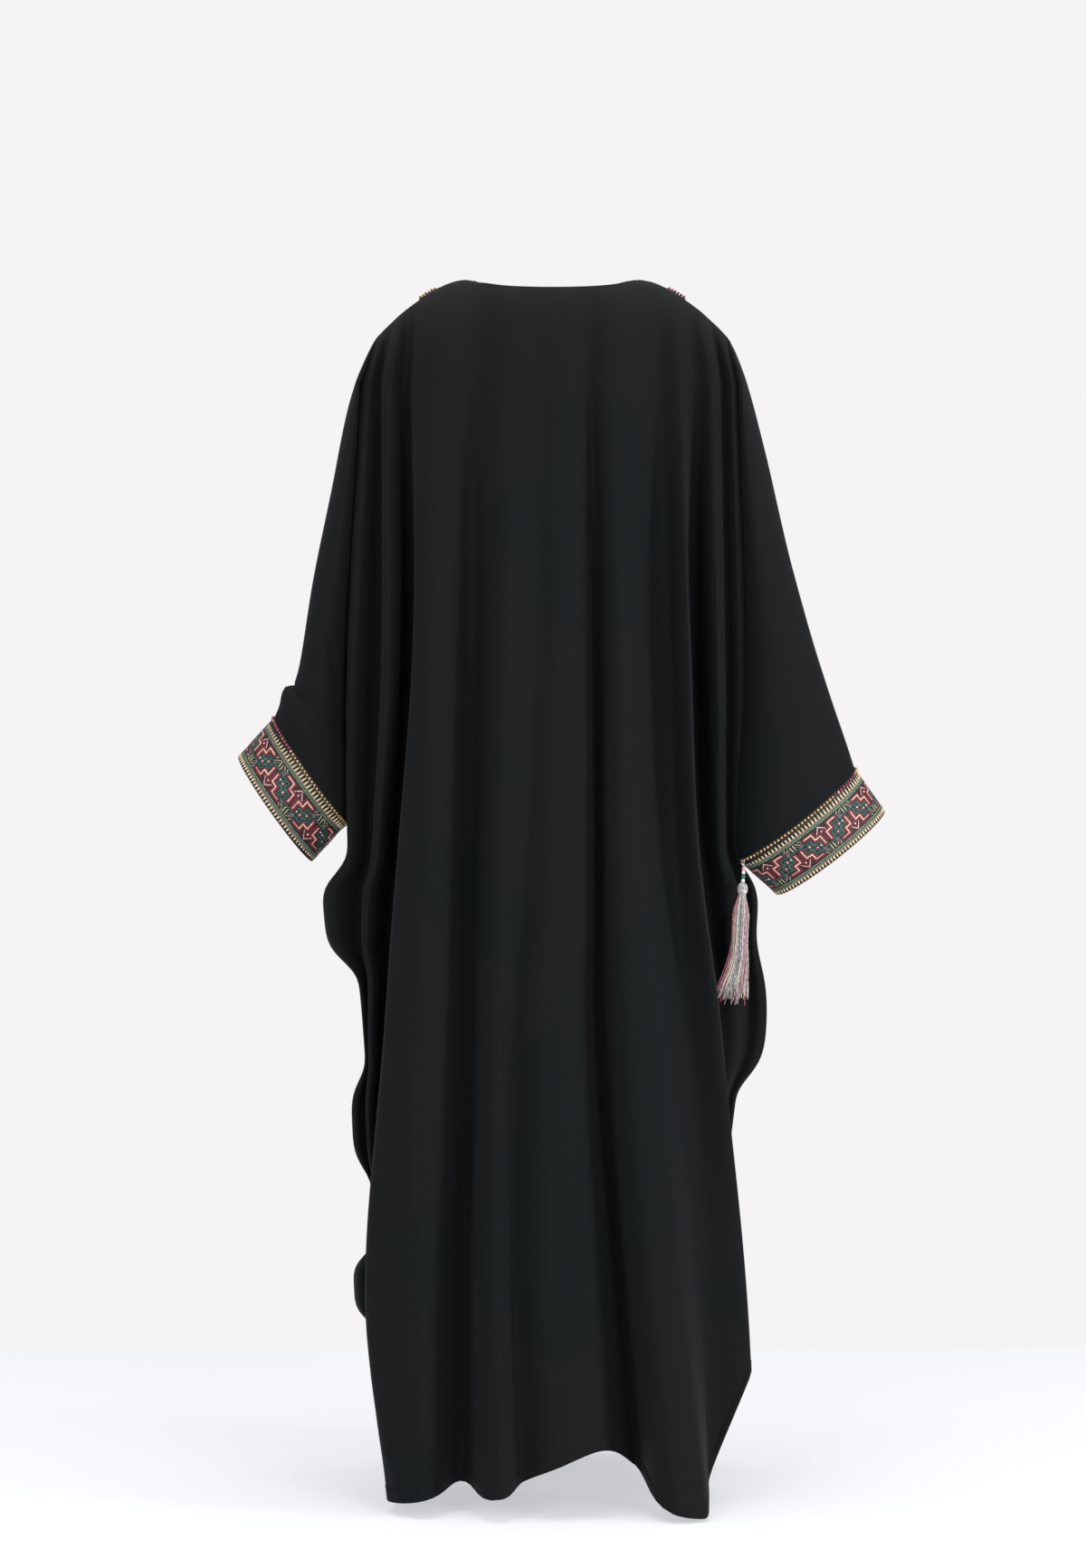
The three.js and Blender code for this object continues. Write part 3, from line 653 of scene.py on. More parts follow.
def glass_bead(name, dark, light, metallic=0.0):
    """Pressed glass or plated beads: small bright highlights on a smooth, slightly cloudy body."""
    material, tree = new_material(name)
    cloud = add_node(tree, "TexNoise", {"Scale": 420, "Detail": 2.0}, {"Vector": own_place(tree)})
    colour = colour_ramp(tree, cloud, 0.35, dark, 0.7, light)
    surface(tree, colour, Roughness=0.22, IOR=1.5, Metallic=metallic, Coat_Weight=0.4, Coat_Roughness=0.1)
    return material


CREPE = black_crepe()
EMBROIDERY = embroidery()
IVORY_THREAD = spun_thread("ivory_thread_satin_stitch", "#a8936a", "#e6d8b4", 0.5, 0.3)
BLACK_THREAD = spun_thread("black_sewing_thread", "#07080a", "#0f1012", 0.8, 0.1)
SILVER_THREAD = spun_thread("silver_grey_viscose_thread", "#575457", "#d4d0ce")
ROSE_THREAD = spun_thread("rose_viscose_thread", "#8f2f4b", "#d7798a")
CREAM_THREAD = spun_thread("cream_viscose_thread", "#cbbf9e", "#f1ead2")
TEAL_THREAD = spun_thread("teal_viscose_thread", "#33635f", "#6c9a92")
GOLD_BEAD = glass_bead("gold_plated_bead", "#8f6a35", "#e6c283", 0.55)
ROSE_BEAD = glass_bead("magenta_glass_bead", "#5b1030", "#a33257")
PEARL_BEAD = glass_bead("pearl_glass_bead", "#d8cfc9", "#fbf6f0")
GREEN_BEAD = glass_bead("bottle_green_glass_bead", "#0f3a33", "#2a6f62")
PINK_BEAD = glass_bead("pink_glass_bead", "#b86a72", "#eeb6b4")


def belongs(piece, slot, *nodes):
    """Every piece rides on the robe's one body and stands for its nodes, which it hides. The slot is not
    used.
    """
    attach(piece, "root")
    if nodes:
        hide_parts(*nodes)
    return piece


# ---- the two panels


def numbered(rows):
    index, count = [], 0
    for row in rows:
        index.append(list(range(count, count + len(row))))
        count += len(row)
    return index


def build_panel(panel, folds, facing):
    rows = panel_rows(folds, facing)
    index = numbered(rows)
    shifts = [0] * len(rows)
    shifts[CUFF_INDEX] = SLEEVE_COLUMNS
    quads = grid_quads(index, facing, shifts)
    points = np.array([point for row in rows for point in row])
    cloth = {"quads": quads, "points": points, "normals": point_normals(points, quads)}
    return {"name": panel, "facing": facing, "index": index, **cloth}


def seam_pairs():
    """The points where the two panels are sewn together, as (back, front) numbers."""
    pairs = []
    for r, (b, f) in enumerate(zip(back_panel["index"], front_panel["index"])):
        inner_ends = (SLEEVE_COLUMNS, -1 - SLEEVE_COLUMNS) if r == CUFF_INDEX else ()
        pairs += [(b[column], f[column]) for column in (*inner_ends, 0, -1)]
    return pairs


def ring_normal(ring, turn):
    along = ring["chord"] * (-math.cos(turn) / ring["chord"].length_squared)
    round_ = ring["belly"] * (math.sin(turn) / ring["belly"].length_squared)
    return (along + round_).normalized()


def square_to_cuff(panel):
    """Turns the cloth at the cuffs square to their rings."""
    row = panel["index"][CUFF_INDEX]
    left, right = cuff_ring(SLEEVES["left"]), cuff_ring(SLEEVES["right"])
    for i, turn in enumerate(sleeve_turns):
        panel["normals"][row[SLEEVE_COLUMNS - i]] = ring_normal(left, turn * panel["facing"])
        panel["normals"][row[i - SLEEVE_COLUMNS - 1]] = ring_normal(right, turn * panel["facing"])


def sew_panels():
    """Along a seam both panels take one direction."""
    pairs = seam_pairs()
    for b, f in pairs:
        shared = (back_panel["normals"][b] + front_panel["normals"][f]) * (1, 0, 1)
        back_panel["normals"][b] = front_panel["normals"][f] = shared / np.linalg.norm(shared)
    for k, panel in enumerate((back_panel, front_panel)):
        sewn = {pair[k] for pair in pairs}
        for i in panel["index"][0]:
            if i not in sewn and abs(panel["points"][i][0]) >= NECK["half_width"]:
                normal = panel["normals"][i] * (1, 0, 1)
                panel["normals"][i] = normal / np.linalg.norm(normal)
                panel["points"][i][1] += panel["facing"] * SEWN_GAP / 2


def close_seams():
    """Brings the sewn points of both settled panels to one line, half the gap to each side of it."""
    for b, f in seam_pairs():
        middle = (back_panel["points"][b] + front_panel["points"][f]) / 2
        back_panel["points"][b] = middle - (0, SEWN_GAP / 2, 0)
        front_panel["points"][f] = middle + (0, SEWN_GAP / 2, 0)


def settle(panel):
    """Lets the cloth drift and presses its creases in, everywhere but at the cuffs' own rings."""
    points = panel["points"]
    hold = np.ones(len(points))
    for r, row in enumerate(panel["index"]):
        if ROWS[r] > CUFF_ROW:
            break
        near_cuff = smoothstep(ROWS[r], CUFF_ROW - CUFF_HOLD, CUFF_ROW)
        near_top = 1 - smoothstep(ROWS[r], 0, CREST_HOLD)
        for c, i in enumerate(row):
            in_sleeve = min(c, len(row) - 1 - c) <= SLEEVE_COLUMNS
            hold[i] = (1 - near_cuff if in_sleeve else 1) * (1 - near_top)
    amount = drift(points) + creased(points, panel["name"])
    panel["points"] = points + panel["normals"] * (amount * hold)[:, None]


def cloth_lengths(panel):
    """How far each point lies along its row from the middle, and down its column from the top."""
    points = panel["points"]
    uvs = np.zeros((len(points), 2))
    for r, row in enumerate(panel["index"]):
        line = points[row]
        reach = lengths_along(line)
        uvs[row, 0] = reach - reach[len(row) // 2]
        if r == 0:
            continue
        above = panel["index"][r - 1]
        if r == CUFF_INDEX + 1:
            above = above[SLEEVE_COLUMNS:-SLEEVE_COLUMNS]
        uvs[row, 1] = uvs[above, 1] - np.linalg.norm(line - points[above], axis=1)
    return uvs


def turned_edges(panel, uvs):
    """The extra half wall where the hem and the neck edge are turned in and stitched."""
    extra = np.zeros(len(panel["points"]))
    for r, row in enumerate(ROWS):
        if row >= HEM_ROW - HEM_TURN / SKIRT_ROW_HEIGHT * 0.95:
            extra[panel["index"][r]] = TURNED
    for row in panel["index"][:4]:
        for i in row:
            if abs(panel["points"][i][0]) < NECK["half_width"] and -uvs[i, 1] < NECK_TURN:
                extra[i] = TURNED
    return extra


back_panel = build_panel("back", back, -1)
front_panel = build_panel("front", front, 1)
square_to_cuff(back_panel)
square_to_cuff(front_panel)
sew_panels()
settle(back_panel)
settle(front_panel)
close_seams()
for panel in (back_panel, front_panel):
    panel["uvs"] = cloth_lengths(panel)
    panel["extra"] = turned_edges(panel, panel["uvs"])


def panel_piece(panel, name):
    half = CLOTH / 2 + panel["extra"]
    cloth = (panel["points"], panel["quads"], panel["normals"])
    piece = wall(name + "_crepe", *cloth, -half, half, CREPE, panel["uvs"])
    sharpen(piece, 50)
    return belongs(piece, "black_crepe", name)


back_piece = panel_piece(back_panel, "back_panel")
front_piece = panel_piece(front_panel, "front_panel")

# ---- the embroidered bands

THREADS = {
    "ground": "#0c0d0f",
    "burgundy": "#5c1927",
    "wine": "#2c0c13",
    "salmon": "#cf968c",
    "ivory": "#d9c99f",
    "cream": "#a8966f",
    "teal": "#276f66",
    # The braid's darker teal is painted shade: the shaded sides of the braid's raised chevron links, not a
    # second thread.
    "deep_teal": "#153f3c",
    "red": "#7c2431",
    "magenta": "#93224a",
    "blush": "#d3a3a2",
}
LIFT = {"ground": 0.0, "burgundy": 0.35, "wine": 0.2, "salmon": 0.55, "ivory": 0.55, "cream": 0.45}
THREAD_LIFT = 0.4

# The band's stripes from the sleeve side to the hand: where each ends, across the band.
BAND_STRIPES = [
    (12.0, "teeth"),
    (12.8, "red"),
    (13.6, "dots"),
    (16.0, "braid"),
    (16.8, "dots"),
    (18.4, "ground"),
    (52.6, "field"),
    (54.2, "ground"),
    (55.0, "dots"),
    (57.4, "braid"),
    (58.2, "dots"),
    (59.0, "red"),
    (65.0, "teeth"),
]
FIELD_START, FIELD_END = 18.4, 52.6
REPEAT = 80
HALF = 40  # half the repeat, and the charted field's height
STITCH = 0.8
GAPS = 0.07  # share of the stitches between which the dark ground shows

# The stepped half medallion's outline: the line down its middle, across and up the charted field.
MEDALLION = [(23, 4), (13, 4), (13, 13), (5, 13), (5, 25)]
DIAMONDS = [(16.5, 23.5), (23.5, 16.5)]


def from_line(a, b, line):
    """Square distance from a charted line whose stretches run straight across or straight down."""
    nearest = 99
    for (x0, y0), (x1, y1) in zip(line, line[1:]):
        dx = max(min(x0, x1) - a, 0, a - max(x0, x1))
        dy = max(min(y0, y1) - b, 0, b - max(y0, y1))
        nearest = min(nearest, max(dx, dy))
    return nearest


def inside_steps(a, b):
    return (a < 5 and b < 25) or (a < 13 and b < 13) or (a < 23 and b < 4)


def field_thread(u, v):
    """The thread at a charted point of the main field."""
    u = abs((u + HALF) % REPEAT - HALF)
    if u > HALF / 2:
        u, v = HALF - u, HALF - v
    outlines = []
    for a, b in ((u, v), (HALF - u, HALF - v)):
        away = from_line(a, b, MEDALLION)
        if away < 0.8:
            return "salmon" if int(a + b) % 3 else "ivory"
        if away < 3.5:
            return "burgundy"
        if inside_steps(a, b):
            if abs(b - a * 1.3) < 0.9 and a < 9.2:
                return "blush"
            if a + abs(b - 8.5) < 3.4 or (a < 1.1 and 3 < b < 24):
                return "burgundy"
            return "wine"
        outlines.append(4.9 < away < 5.8)
    for x, y in DIAMONDS:
        away = abs(u - x) + abs(v - y)
        if away < 1.3:
            return "ivory"
        if away < 3.2:
            return "magenta" if away < 2.1 else "burgundy"
        if away < 4.4:
            return "ground"
        if away < 5.3:
            return "teal"
    if any(outlines):
        return "teal"
    rise = HALF - v
    if rise < 9 and u < 13:
        if 1.4 < u < 2.3 and rise < 8.4:
            return "ivory"
        if (abs(u - 4 - rise) < 0.7 and rise < 5.6) or (abs(u - 9 - rise) < 0.7 and rise < 3.6):
            return "cream"
        if abs(u - rise) < 0.7 and rise > 3.4:
            return "teal"
        if abs(u - 9.8) + abs(rise - 7.6) < 2.6:
            return "magenta"
    return "ground"


def band_thread(u, v):
    """The thread at a point of a band: u along it and v across it from the sleeve side, in millimetres."""
    for end, kind in BAND_STRIPES:
        if v < end:
            break
    if kind == "field":
        return field_thread(u, (v - FIELD_START) * HALF / (FIELD_END - FIELD_START))
    if kind == "braid":
        # The braid alternates teal with a darker teal painted as the shade of its raised chevron links.
        return "teal" if (u + v * 0.9) % 2.4 < 1.3 else "deep_teal"
    if kind == "dots":
        return "cream" if u % 2.4 < 1.3 else "wine"
    if kind == "teeth":
        return "ground"
    return kind


def band_piece(name, place, length, width, closed):
    """A band of cloth with its embroidery raised on it. place(u, v) gives a point and the way out from it."""
    around = round(length / STITCH)
    across = round(width / STITCH)
    columns = around if closed else around + 1
    uvs = [(length * i / around, width * j / across) for j in range(across + 1) for i in range(columns)]
    threads = [
        [band_thread(length * (i + 0.5) / around, width * (j + 0.5) / across) for i in range(around)]
        for j in range(across)
    ]
    lift = np.array([[LIFT.get(thread, THREAD_LIFT) for thread in row] for row in threads])
    lift = np.concatenate([lift[:1], lift, lift[-1:]], axis=0)
    ends = (lift[:, -1:], lift[:, :1]) if closed else (lift[:, :1], lift[:, -1:])
    lift = np.concatenate([ends[0], lift, ends[1]], axis=1)
    lift = (lift[:-1, :-1] + lift[1:, :-1] + lift[:-1, 1:] + lift[1:, 1:]) / 4
    points, normals = (np.array(values) for values in zip(*(place(u, v) for u, v in uvs)))
    quads = []
    for j in range(across):
        for i in range(around):
            a, b = j * columns + i, j * columns + (i + 1) % columns
            quads.append((a, b, b + columns, a + columns))
    p, q, r = (points[quads[0][k]] for k in (0, 1, 3))
    if np.dot(np.cross(q - p, r - p), normals[quads[0][0]]) < 0:
        quads = [quad[::-1] for quad in quads]
    inner, outer = np.full(len(points), -TRIM / 2), TRIM / 2 + lift[:, :columns].ravel()
    piece = wall(name + "_embroidered", points, quads, normals, inner, outer, EMBROIDERY, uvs)
    colours = np.tile(np.array(linear(THREADS["ground"]), np.float32), (len(piece.data.loops), 1))
    dye = random.Random(11)
    number = 0
    for j in range(across):
        for i in range(around):
            base = np.array(linear(THREADS[threads[j][i]]))
            base[:3] *= 0.78 + 0.4 * dye.random()
            if dye.random() < GAPS:
                base[:3] *= 0.3
            colours[number * 4 : number * 4 + 4] = base
            number += 1
    layer = piece.data.color_attributes.new(name="thread", type="FLOAT_COLOR", domain="CORNER")
    layer.data.foreach_set("color", colours.ravel())
    sharpen(piece, 60)
    return belongs(piece, "embroidered_trim", name)


def tooth_model():
    """One satin-stitched tooth: a long triangle, rounded across, pointing along +Y."""
    tooth = added(bpy.ops.mesh.primitive_cone_add, vertices=8, radius1=1, radius2=0.12, depth=1)
    tooth.rotation_euler = (-math.pi / 2, 0, 0)
    place_here(tooth)
    tooth.location = (0, 0.5, 0)
    place_here(tooth)
    return tooth


def bead_model():
    bead = added(bpy.ops.mesh.primitive_uv_sphere_add, segments=10, ring_count=6, radius=0.5)
    reshape(bpy.ops.transform.resize, value=(1, 1, 0.86))
    return bead


TOOTH_PITCH = 4.9
# Teeth on the two edges of a band: pitch, foot, half width, reach to the hand side and thickness.
TEETH = [(TOOTH_PITCH, 12.2, 1.5, -8.3, 0.9), (4.6, 59.2, 1.6, 5.0, 0.85)]
TIP_BEAD = {"line": 2.6, "lift": 1.1, "least": 3.3, "uneven": 0.3}
SEED_BEAD = {"size": 1.9, "lift": 0.9, "field": 34}
SEED_PLACES = [(0, 8.5), (11, 24)]  # in each half repeat: how far along it, and how high in the field


def frame_on(place, u, v, lift, size=1):
    """A point on a band with the ways along it, towards its hand side and out of it, and a size."""
    point, out = place(u, v)
    ahead, _ = place(u + 0.5, v)
    handward, _ = place(u, v + 0.5)
    out = Vector(out)
    across = (Vector(ahead) - Vector(point)).normalized()
    along = out.cross(across).normalized()
    if along.dot(Vector(handward) - Vector(point)) < 0:
        along.negate()
    return Vector(point) + out * lift, across, along, out, size


def band_teeth(name, place, length, seed, magenta):
    """The ivory teeth on both edges of a band, the beads at the tips of the sleeve side's teeth, magenta in
    the given shares of the band's length and gold in the rest, and the pearls sewn on its field."""
    frames = []
    for pitch, foot, half_width, reach, thick in TEETH:
        for k in range(int(length / pitch)):
            point, across, along, out, size = frame_on(place, (k + 0.5) * pitch, foot, TRIM / 2)
            frames.append((point, across * half_width, along * reach, out * thick, size))
    teeth = belongs(copies(name + "_teeth", tooth_model(), frames, [IVORY_THREAD]), "embroidered_trim")
    strung = random.Random(seed)
    frames, kinds = [], []
    for k in range(int(length / TOOTH_PITCH)):
        u = (k + 0.5) * TOOTH_PITCH
        size = TIP_BEAD["least"] + TIP_BEAD["uneven"] * strung.random()
        frames.append(frame_on(place, u, TIP_BEAD["line"], TRIM / 2 + TIP_BEAD["lift"], size))
        in_magenta = any(low < u / length < high for low, high in magenta)
        kinds.append(1 if in_magenta and strung.random() < 0.8 else 0)
    beads = copies(name + "_beads", bead_model(), frames, [GOLD_BEAD, ROSE_BEAD], kinds)
    frames = []
    for k in range(int(length / HALF) + 1):
        for shift, high in SEED_PLACES:
            u = k * HALF + shift
            v = FIELD_START + (high if k % 2 == 0 else HALF - high) * SEED_BEAD["field"] / HALF
            if u < length - 2:
                frames.append(frame_on(place, u + 0.01, v, TRIM / 2 + SEED_BEAD["lift"], SEED_BEAD["size"]))
    seeds = copies(name + "_seed_beads", bead_model(), frames, [PEARL_BEAD])
    return [teeth, belongs(beads, "glass_beads"), belongs(seeds, "glass_beads")]


def ring_lengths(ring, steps=720):
    """The cuff ring's turn at each length round it."""
    turns = np.linspace(0, 2 * math.pi, steps + 1)
    points = np.array([-ring["chord"] * math.cos(t) + ring["belly"] * math.sin(t) for t in turns])
    reach = lengths_along(points)
    return turns, reach


def cuff_place(ring):
    turns, reach = ring_lengths(ring)

    def place(u, v):
        turn = float(np.interp(u % reach[-1], reach, turns))
        return np.array(ring_point(ring, turn, SEAM_GAP + v)), np.array(ring_normal(ring, turn))

    return place, float(reach[-1])


for side, seed, magenta in (
    ("left", 5, [(0.5, 0.69), (0.2, 0.3)]),
    ("right", 8, [(0.55, 0.65), (0.3, 0.38)]),
):
    name = "cuff_band_" + side
    place, length = cuff_place(cuff_ring(SLEEVES[side]))
    band = band_piece(name, place, length, CUFF_WIDTH - SEAM_GAP, True)
    band_teeth(name, place, length, seed, magenta)

# ---- the tassel

TASSEL = {
    "turn": -0.1 * math.pi,
    "along": 2,
    "stand_off": 2.2,
    "foot": (214, -134, -860),
    "cord": 1.6,
    "twist": 4.5,
    "first_bead": 10,
    "threads": 230,
}
TASSEL_BEADS = [
    ("rose", 4.4, PINK_BEAD),
    ("pearl", 4.4, PEARL_BEAD),
    ("green", 5.6, GREEN_BEAD),
    ("pearl_low", 4.4, PEARL_BEAD),
]
HEAD = {"top": 31, "height": 14.5, "radius": 6.2, "strands": 34, "strand": 0.62, "wraps": 5, "wrap": 0.55}
SKIRT = {"neck": 4.4, "curl": 7}
SKIRT_SPREAD = ((0, 0.2, 0.5, 0.75, 1), (3.4, 10.6, 10.2, 13.5, 19))  # share of the way down, radius

tassel_ring = cuff_ring(SLEEVES["right"])
tassel_top = ring_point(tassel_ring, TASSEL["turn"], TASSEL["along"])
tassel_top += ring_normal(tassel_ring, TASSEL["turn"]) * TASSEL["stand_off"]
tassel_line = Vector(TASSEL["foot"]) - tassel_top
tassel_down = tassel_line.normalized()
tassel_side = tassel_down.cross(Vector((0, 1, 0))).normalized()
tassel_out = tassel_side.cross(tassel_down)


def round_tassel(angle, radius, down):
    """A point round the tassel's own line."""
    way_out = tassel_side * math.cos(angle) + tassel_out * math.sin(angle)
    return tassel_top + tassel_down * down + way_out * radius


def tube(path, radius, sides):
    """The points and faces of a closed tube along a path, with a radius for each point."""
    points, faces = [], []
    for k, point in enumerate(path):
        ahead = path[min(k + 1, len(path) - 1)] - path[max(k - 1, 0)]
        side = ahead.cross(Vector((0.31, 0.87, 0.21))).normalized()
        other = ahead.normalized().cross(side)
        for s in range(sides):
            turn = 2 * math.pi * s / sides
            way_out = side * math.cos(turn) + other * math.sin(turn)
            points.append(point + way_out * radius(k / (len(path) - 1), turn))
    for k in range(len(path) - 1):
        for s in range(sides):
            a, b = k * sides + s, k * sides + (s + 1) % sides
            faces.append((a, b, b + sides, a + sides))
    faces.append(tuple(range(sides))[::-1])
    faces.append(tuple(range((len(path) - 1) * sides, len(path) * sides)))
    return points, faces


def build_cord():
    """Two plies twisted together, from the cuff down through the beads, the head and into the skirt."""
    length = tassel_line.length - 6
    path = [tassel_top + tassel_down * (length * k / 150) for k in range(151)]
    turns = length / TASSEL["twist"]

    def ply(share, turn):
        return TASSEL["cord"] / 2 * (0.84 + 0.16 * math.cos(2 * turn + 2 * math.pi * turns * share))

    cord = joined("tassel_twisted_cord", [(*tube(path, ply, 12), 0)], [SILVER_THREAD])
    return belongs(cord, "tassel_silk", "tassel_cord"), path, length


def build_beads():
    beads = []
    start = TASSEL["first_bead"]
    for colour, size, material in TASSEL_BEADS:
        radii = {"major_radius": size * 0.3, "minor_radius": size * 0.2}
        bead = added(bpy.ops.mesh.primitive_torus_add, major_segments=28, minor_segments=14, **radii)
        bead.name = bead.data.name = "glass_bead_" + colour
        reshape(bpy.ops.transform.resize, value=(1, 1, 2.35))
        bead.rotation_mode = "QUATERNION"
        bead.rotation_quaternion = tassel_down.to_track_quat("Z", "Y")
        bead.location = (tassel_top + tassel_down * (start + size / 2)) * MM
        bead.scale = (MM, MM, MM)
        place_here(bead)
        bead.data.materials.append(material)
        sharpen(bead)
        beads.append(belongs(bead, "glass_beads", "tassel_bead_" + colour))
        start += size + SEAM_GAP
    return beads


def build_head():
    """The bound head: threads folded over a core, gathered at the neck by a few turns of thread."""
    tubes = []
    for s in range(HEAD["strands"]):
        angle = 2 * math.pi * s / HEAD["strands"]
        path = []
        for k in range(11):
            t = k / 10
            swell = math.sin(math.pi * (0.1 + 0.82 * t)) ** 0.7
            radius = 1.6 + (HEAD["radius"] - 2.1) * swell
            down = HEAD["top"] + 0.4 + (HEAD["height"] - 0.6) * t
            path.append(round_tassel(angle + 0.12 * t, radius, down))
        tubes.append((*tube(path, lambda share, turn: HEAD["strand"], 6), 0))
    neck = HEAD["top"] + HEAD["height"] - 3.6
    for wrap in range(HEAD["wraps"]):
        down, radius = neck + wrap * 1.05, SKIRT["neck"] - 0.4
        path = [round_tassel(2 * math.pi * k / 32, radius, down + 0.9 * k / 32) for k in range(34)]
        tubes.append((*tube(path, lambda share, turn: HEAD["wrap"], 6), 0))
    core = [tassel_top + tassel_down * (HEAD["top"] + 1.2 + (HEAD["height"] - 1.6) * k / 8) for k in range(9)]

    def core_radius(share, turn):
        return 1.5 + (HEAD["radius"] - 3.2) * math.sin(math.pi * (0.08 + 0.84 * share))

    tubes.append((*tube(core, core_radius, 16), 0))
    return belongs(joined("tassel_bound_head", tubes, [SILVER_THREAD]), "tassel_silk", "tassel_head")


def build_skirt():
    """Loose threads that fall from the neck and spread, each with its own slight wave and length."""
    hand = random.Random(21)
    top = HEAD["top"] + HEAD["height"] - 1.5
    bottom = tassel_line.length
    tubes = []
    for _ in range(TASSEL["threads"]):
        angle = hand.random() * 2 * math.pi
        share = hand.random() ** 0.45
        end = bottom - 5 + 12 * hand.random() ** 4 - 5 * hand.random()
        wave, phase, drifted = hand.uniform(0.3, 1.3), hand.random() * 6.3, hand.uniform(-0.2, 0.2)
        curl = SKIRT["curl"] * hand.uniform(0.5, 1.3)
        path = []
        for k in range(14):
            t = k / 13
            radius = share * float(np.interp(t, *SKIRT_SPREAD)) + wave * math.sin(phase + t * 8) * t
            around = angle + drifted * t + 0.03 * math.sin(phase + 5 * t)
            point = round_tassel(around, radius, lerp(top, end, t))
            path.append(point - tassel_side * curl * max(0, t - 0.55) ** 2 / 0.2)
        pick = hand.random() - 0.34 * abs(math.cos(angle)) * share
        kind = 1 if pick < 0.02 else 2 if pick < 0.12 else 3 if pick > 0.95 else 0
        tubes.append((*tube(path, lambda share, turn: 0.5 - 0.12 * share, 5), kind))
    skirt = joined("tassel_loose_threads", tubes, [SILVER_THREAD, ROSE_THREAD, CREAM_THREAD, TEAL_THREAD])
    return belongs(skirt, "tassel_silk", "tassel_skirt")


cord_piece, cord_path, cord_length = build_cord()
bead_pieces = build_beads()
head_piece = build_head()
skirt_piece = build_skirt()

# ---- shoulder bands


def shoulder_surface(from_fold, to_fold):
    """A close grid of the front panel's outer points between two folds, from the shoulder seam down."""
    folds = [fold["name"] for fold in front]
    first, last = (SLEEVE_COLUMNS + FOLD_STEPS * folds.index(name) for name in (from_fold, to_fold))
    rows = [r for r, row in enumerate(ROWS) if row <= SHOULDER_BAND_ROWS + 0.001]
    index = np.array([front_panel["index"][r][first : last + 1] for r in rows])
    return front_panel["points"][index], front_panel["normals"][index]


def shoulder_place(points, normals, inward):
    """Places on a shoulder band: u down the front from the seam, v across it from the sleeve side."""
    down = lengths_along(points[:, points.shape[1] // 2])
    across = lengths_along(points[points.shape[0] // 2])
    width = across[-1]

    def place(u, v):
        r = float(np.interp(u, down, np.arange(len(down))))
        if inward < 0:
            v = width - v
        c = float(np.interp(v, across, np.arange(len(across))))
        r0, c0 = min(int(r), len(down) - 2), min(int(c), len(across) - 2)
        tr, tc = r - r0, c - c0
        out = []
        for grid in (points, normals):
            top = grid[r0, c0] * (1 - tc) + grid[r0, c0 + 1] * tc
            bottom = grid[r0 + 1, c0] * (1 - tc) + grid[r0 + 1, c0 + 1] * tc
            out.append(top * (1 - tr) + bottom * tr)
        normal = out[1] / np.linalg.norm(out[1])
        return out[0] + normal * (CLOTH / 2 + SEAM_GAP + TRIM / 2), normal

    return place, float(down[-1]), float(width)


END_BEADS = 6
END_BEAD = 3.6


def end_beads(name, place, kinds):
    """A short row of beads across the end of a shoulder band, on the shoulder's crest."""
    lift = TRIM / 2 + END_BEAD * 0.45
    frames = [frame_on(place, 0.6, 1 + (k + 0.5) * END_BEAD, lift, END_BEAD) for k in range(END_BEADS)]
    beads = copies(name + "_end_beads", bead_model(), frames, [GOLD_BEAD, ROSE_BEAD], kinds)
    return belongs(beads, "glass_beads")


for side, from_fold, to_fold, inward, seed, kinds in (
    ("left", "left_front_edge", "left_front_furrow", 1, 31, [0, 0, 1, 0, 1, 0]),
    ("right", "right_front_furrow", "right_front_edge", -1, 32, [1] * END_BEADS),
):
    name = "shoulder_band_" + side
    place, length, width = shoulder_place(*shoulder_surface(from_fold, to_fold), inward)
    band = band_piece(name, place, length, width, False)
    trims = [*band_teeth(name, place, length, seed, [(0.2, 0.4)]), end_beads(name, place, kinds)]

# ---- stitches


def stitch_model():
    """One machine stitch: a short bead of thread with its ends pulled in."""
    stitch = added(bpy.ops.mesh.primitive_cube_add, size=1)
    reshape(bpy.ops.mesh.bevel, offset=0.3, segments=1, affect="EDGES")
    return stitch


def stitch_row(name, lines, pitch=3.2):
    """A row of stitches along lines of (point, way out), at an even pitch."""
    frames = []
    for line in lines:
        points, outs = (np.array(values) for values in zip(*line))
        reach = lengths_along(points)
        for k in range(int(reach[-1] / pitch)):
            at, ahead = (k + 0.2) * pitch, (k + 0.9) * pitch
            point, after, out = (read_at(s, reach, v) for s, v in ((at, points), (ahead, points), (at, outs)))
            along = (after - point).normalized()
            out = (out - along * out.dot(along)).normalized()
            frames.append(((point + after) / 2, along * 2.3, along.cross(out) * 0.55, out * 0.5, 1))
    return belongs(copies(name, stitch_model(), frames, [BLACK_THREAD]), "black_crepe")


def edge_line(panel, r, columns=None, lift=0.15):
    row = panel["index"][r]
    row = row if columns is None else [i for i in row if columns(panel["points"][i])]
    out = CLOTH / 2 + panel["extra"]
    return [(panel["points"][i] + panel["normals"][i] * (out[i] + lift), panel["normals"][i]) for i in row]


hem_row = len(ROWS) - 4
hem_stitches = stitch_row("hem_stitches", [edge_line(back_panel, hem_row), edge_line(front_panel, hem_row)])


def at_neck(point):
    return abs(point[0]) < NECK["half_width"] - 4


neck_lines = [edge_line(panel, 2, at_neck) for panel in (back_panel, front_panel)]
neck_stitches = stitch_row("neck_stitches", neck_lines, 2.8)

# ---- floor, light and camera

FLOOR_HEIGHT = -1.445


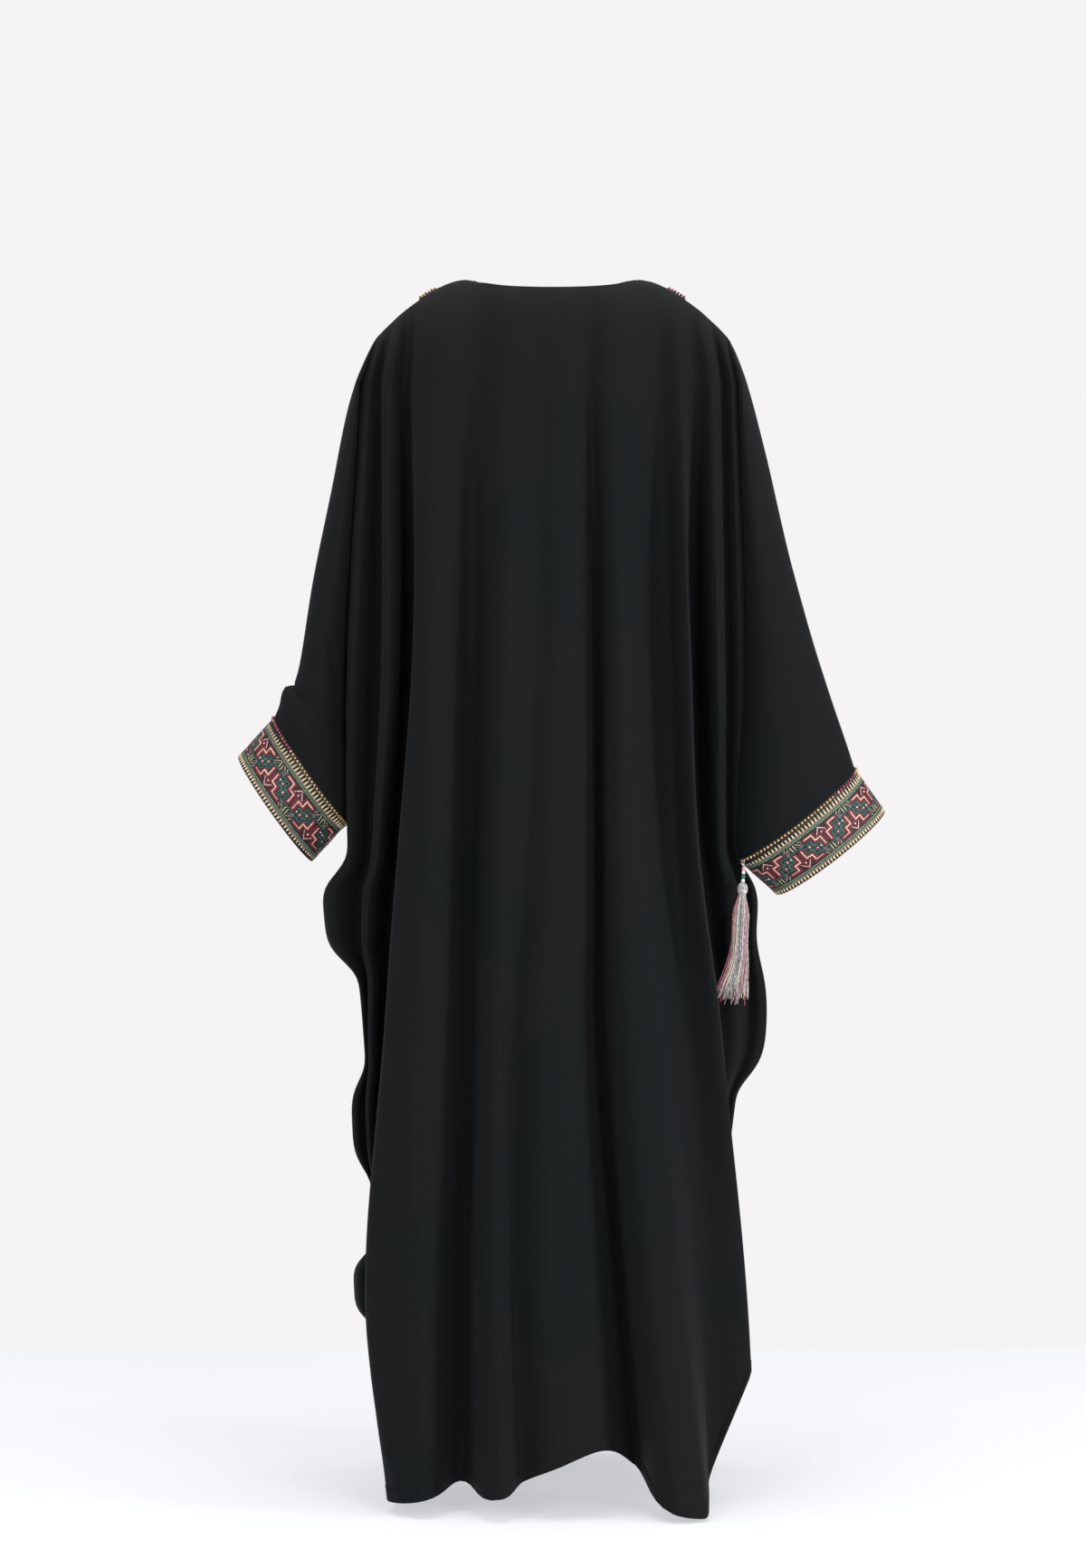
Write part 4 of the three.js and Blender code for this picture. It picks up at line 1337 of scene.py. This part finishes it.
def pale_floor():
    """Pale acrylic studio floor, lit from under it: even and nearly white, so shadows on it stay faint."""
    material, tree = new_material("studio_floor_lit_acrylic")
    roller = add_node(tree, "TexNoise", {"Scale": 60, "Detail": 2.0}, {"Vector": own_place(tree)})
    tone = add_node(tree, "MapRange", {"To Min": 0.39, "To Max": 0.41}, {"Value": roller})
    glow = {"Emission_Color": linear("#f4f6fb"), "Emission_Strength": 0.56}
    surface(tree, tone, Roughness=0.9, Specular_IOR_Level=0.1, **glow)
    return material


floor = added(bpy.ops.mesh.primitive_plane_add, size=1)
floor.name = "floor"
floor.location = (0, -2.35, FLOOR_HEIGHT)
floor.scale = (12, 7.1, 1)
place_here(floor)
floor.data.materials.append(pale_floor())

world = bpy.data.worlds.new("pale_studio")
bpy.context.scene.world = world
world.use_nodes = True
sky = world.node_tree
sky.nodes.clear()
seen, dim = (add_node(sky, "Background", {"Color": linear("#f5f3f4"), "Strength": s}) for s in (1.0, 0.3))
to_camera = add_node(sky, "LightPath").outputs["Is Camera Ray"]
backdrop = add_node(sky, "MixShader", links={0: to_camera, 1: dim, 2: seen})
add_node(sky, "OutputWorld", links={0: backdrop})


def soft_light(name, place, aim, size, watts):
    data = bpy.data.lights.new(name, "AREA")
    data.shape = "RECTANGLE"
    data.size, data.size_y = size
    data.energy = watts
    light = bpy.data.objects.new(name, data)
    light.location = place
    light.rotation_euler = (Vector(aim) - Vector(place)).to_track_quat("-Z", "Y").to_euler()
    bpy.context.scene.collection.objects.link(light)


soft_light("front_softbox_left", (-1.9, -4.8, 0.9), (0, 0, -0.8), (2.0, 2.2), 100)
soft_light("front_softbox_right", (2.1, -4.8, 0.9), (0, 0, -0.8), (2.0, 2.2), 115)
soft_light("side_strip_left", (-3.0, -1.2, -0.2), (0, -0.1, -0.8), (0.6, 2.0), 16)
soft_light("side_strip_right", (3.0, -1.4, -0.7), (0.1, -0.1, -1.1), (0.6, 1.8), 62)
soft_light("overhead_softbox", (0, -0.4, 2.9), (0, -0.2, -1.4), (4.0, 3.4), 150)

camera_data = bpy.data.cameras.new("camera")
camera_data.sensor_width = 36
camera_data.lens = 96.2
camera = bpy.data.objects.new("camera", camera_data)
camera.location = (-0.011, -5.0, -0.612)
camera.rotation_euler = (math.pi / 2, 0, 0)
bpy.context.scene.collection.objects.link(camera)
bpy.context.scene.camera = camera
bpy.context.scene.view_settings.view_transform = "Standard"
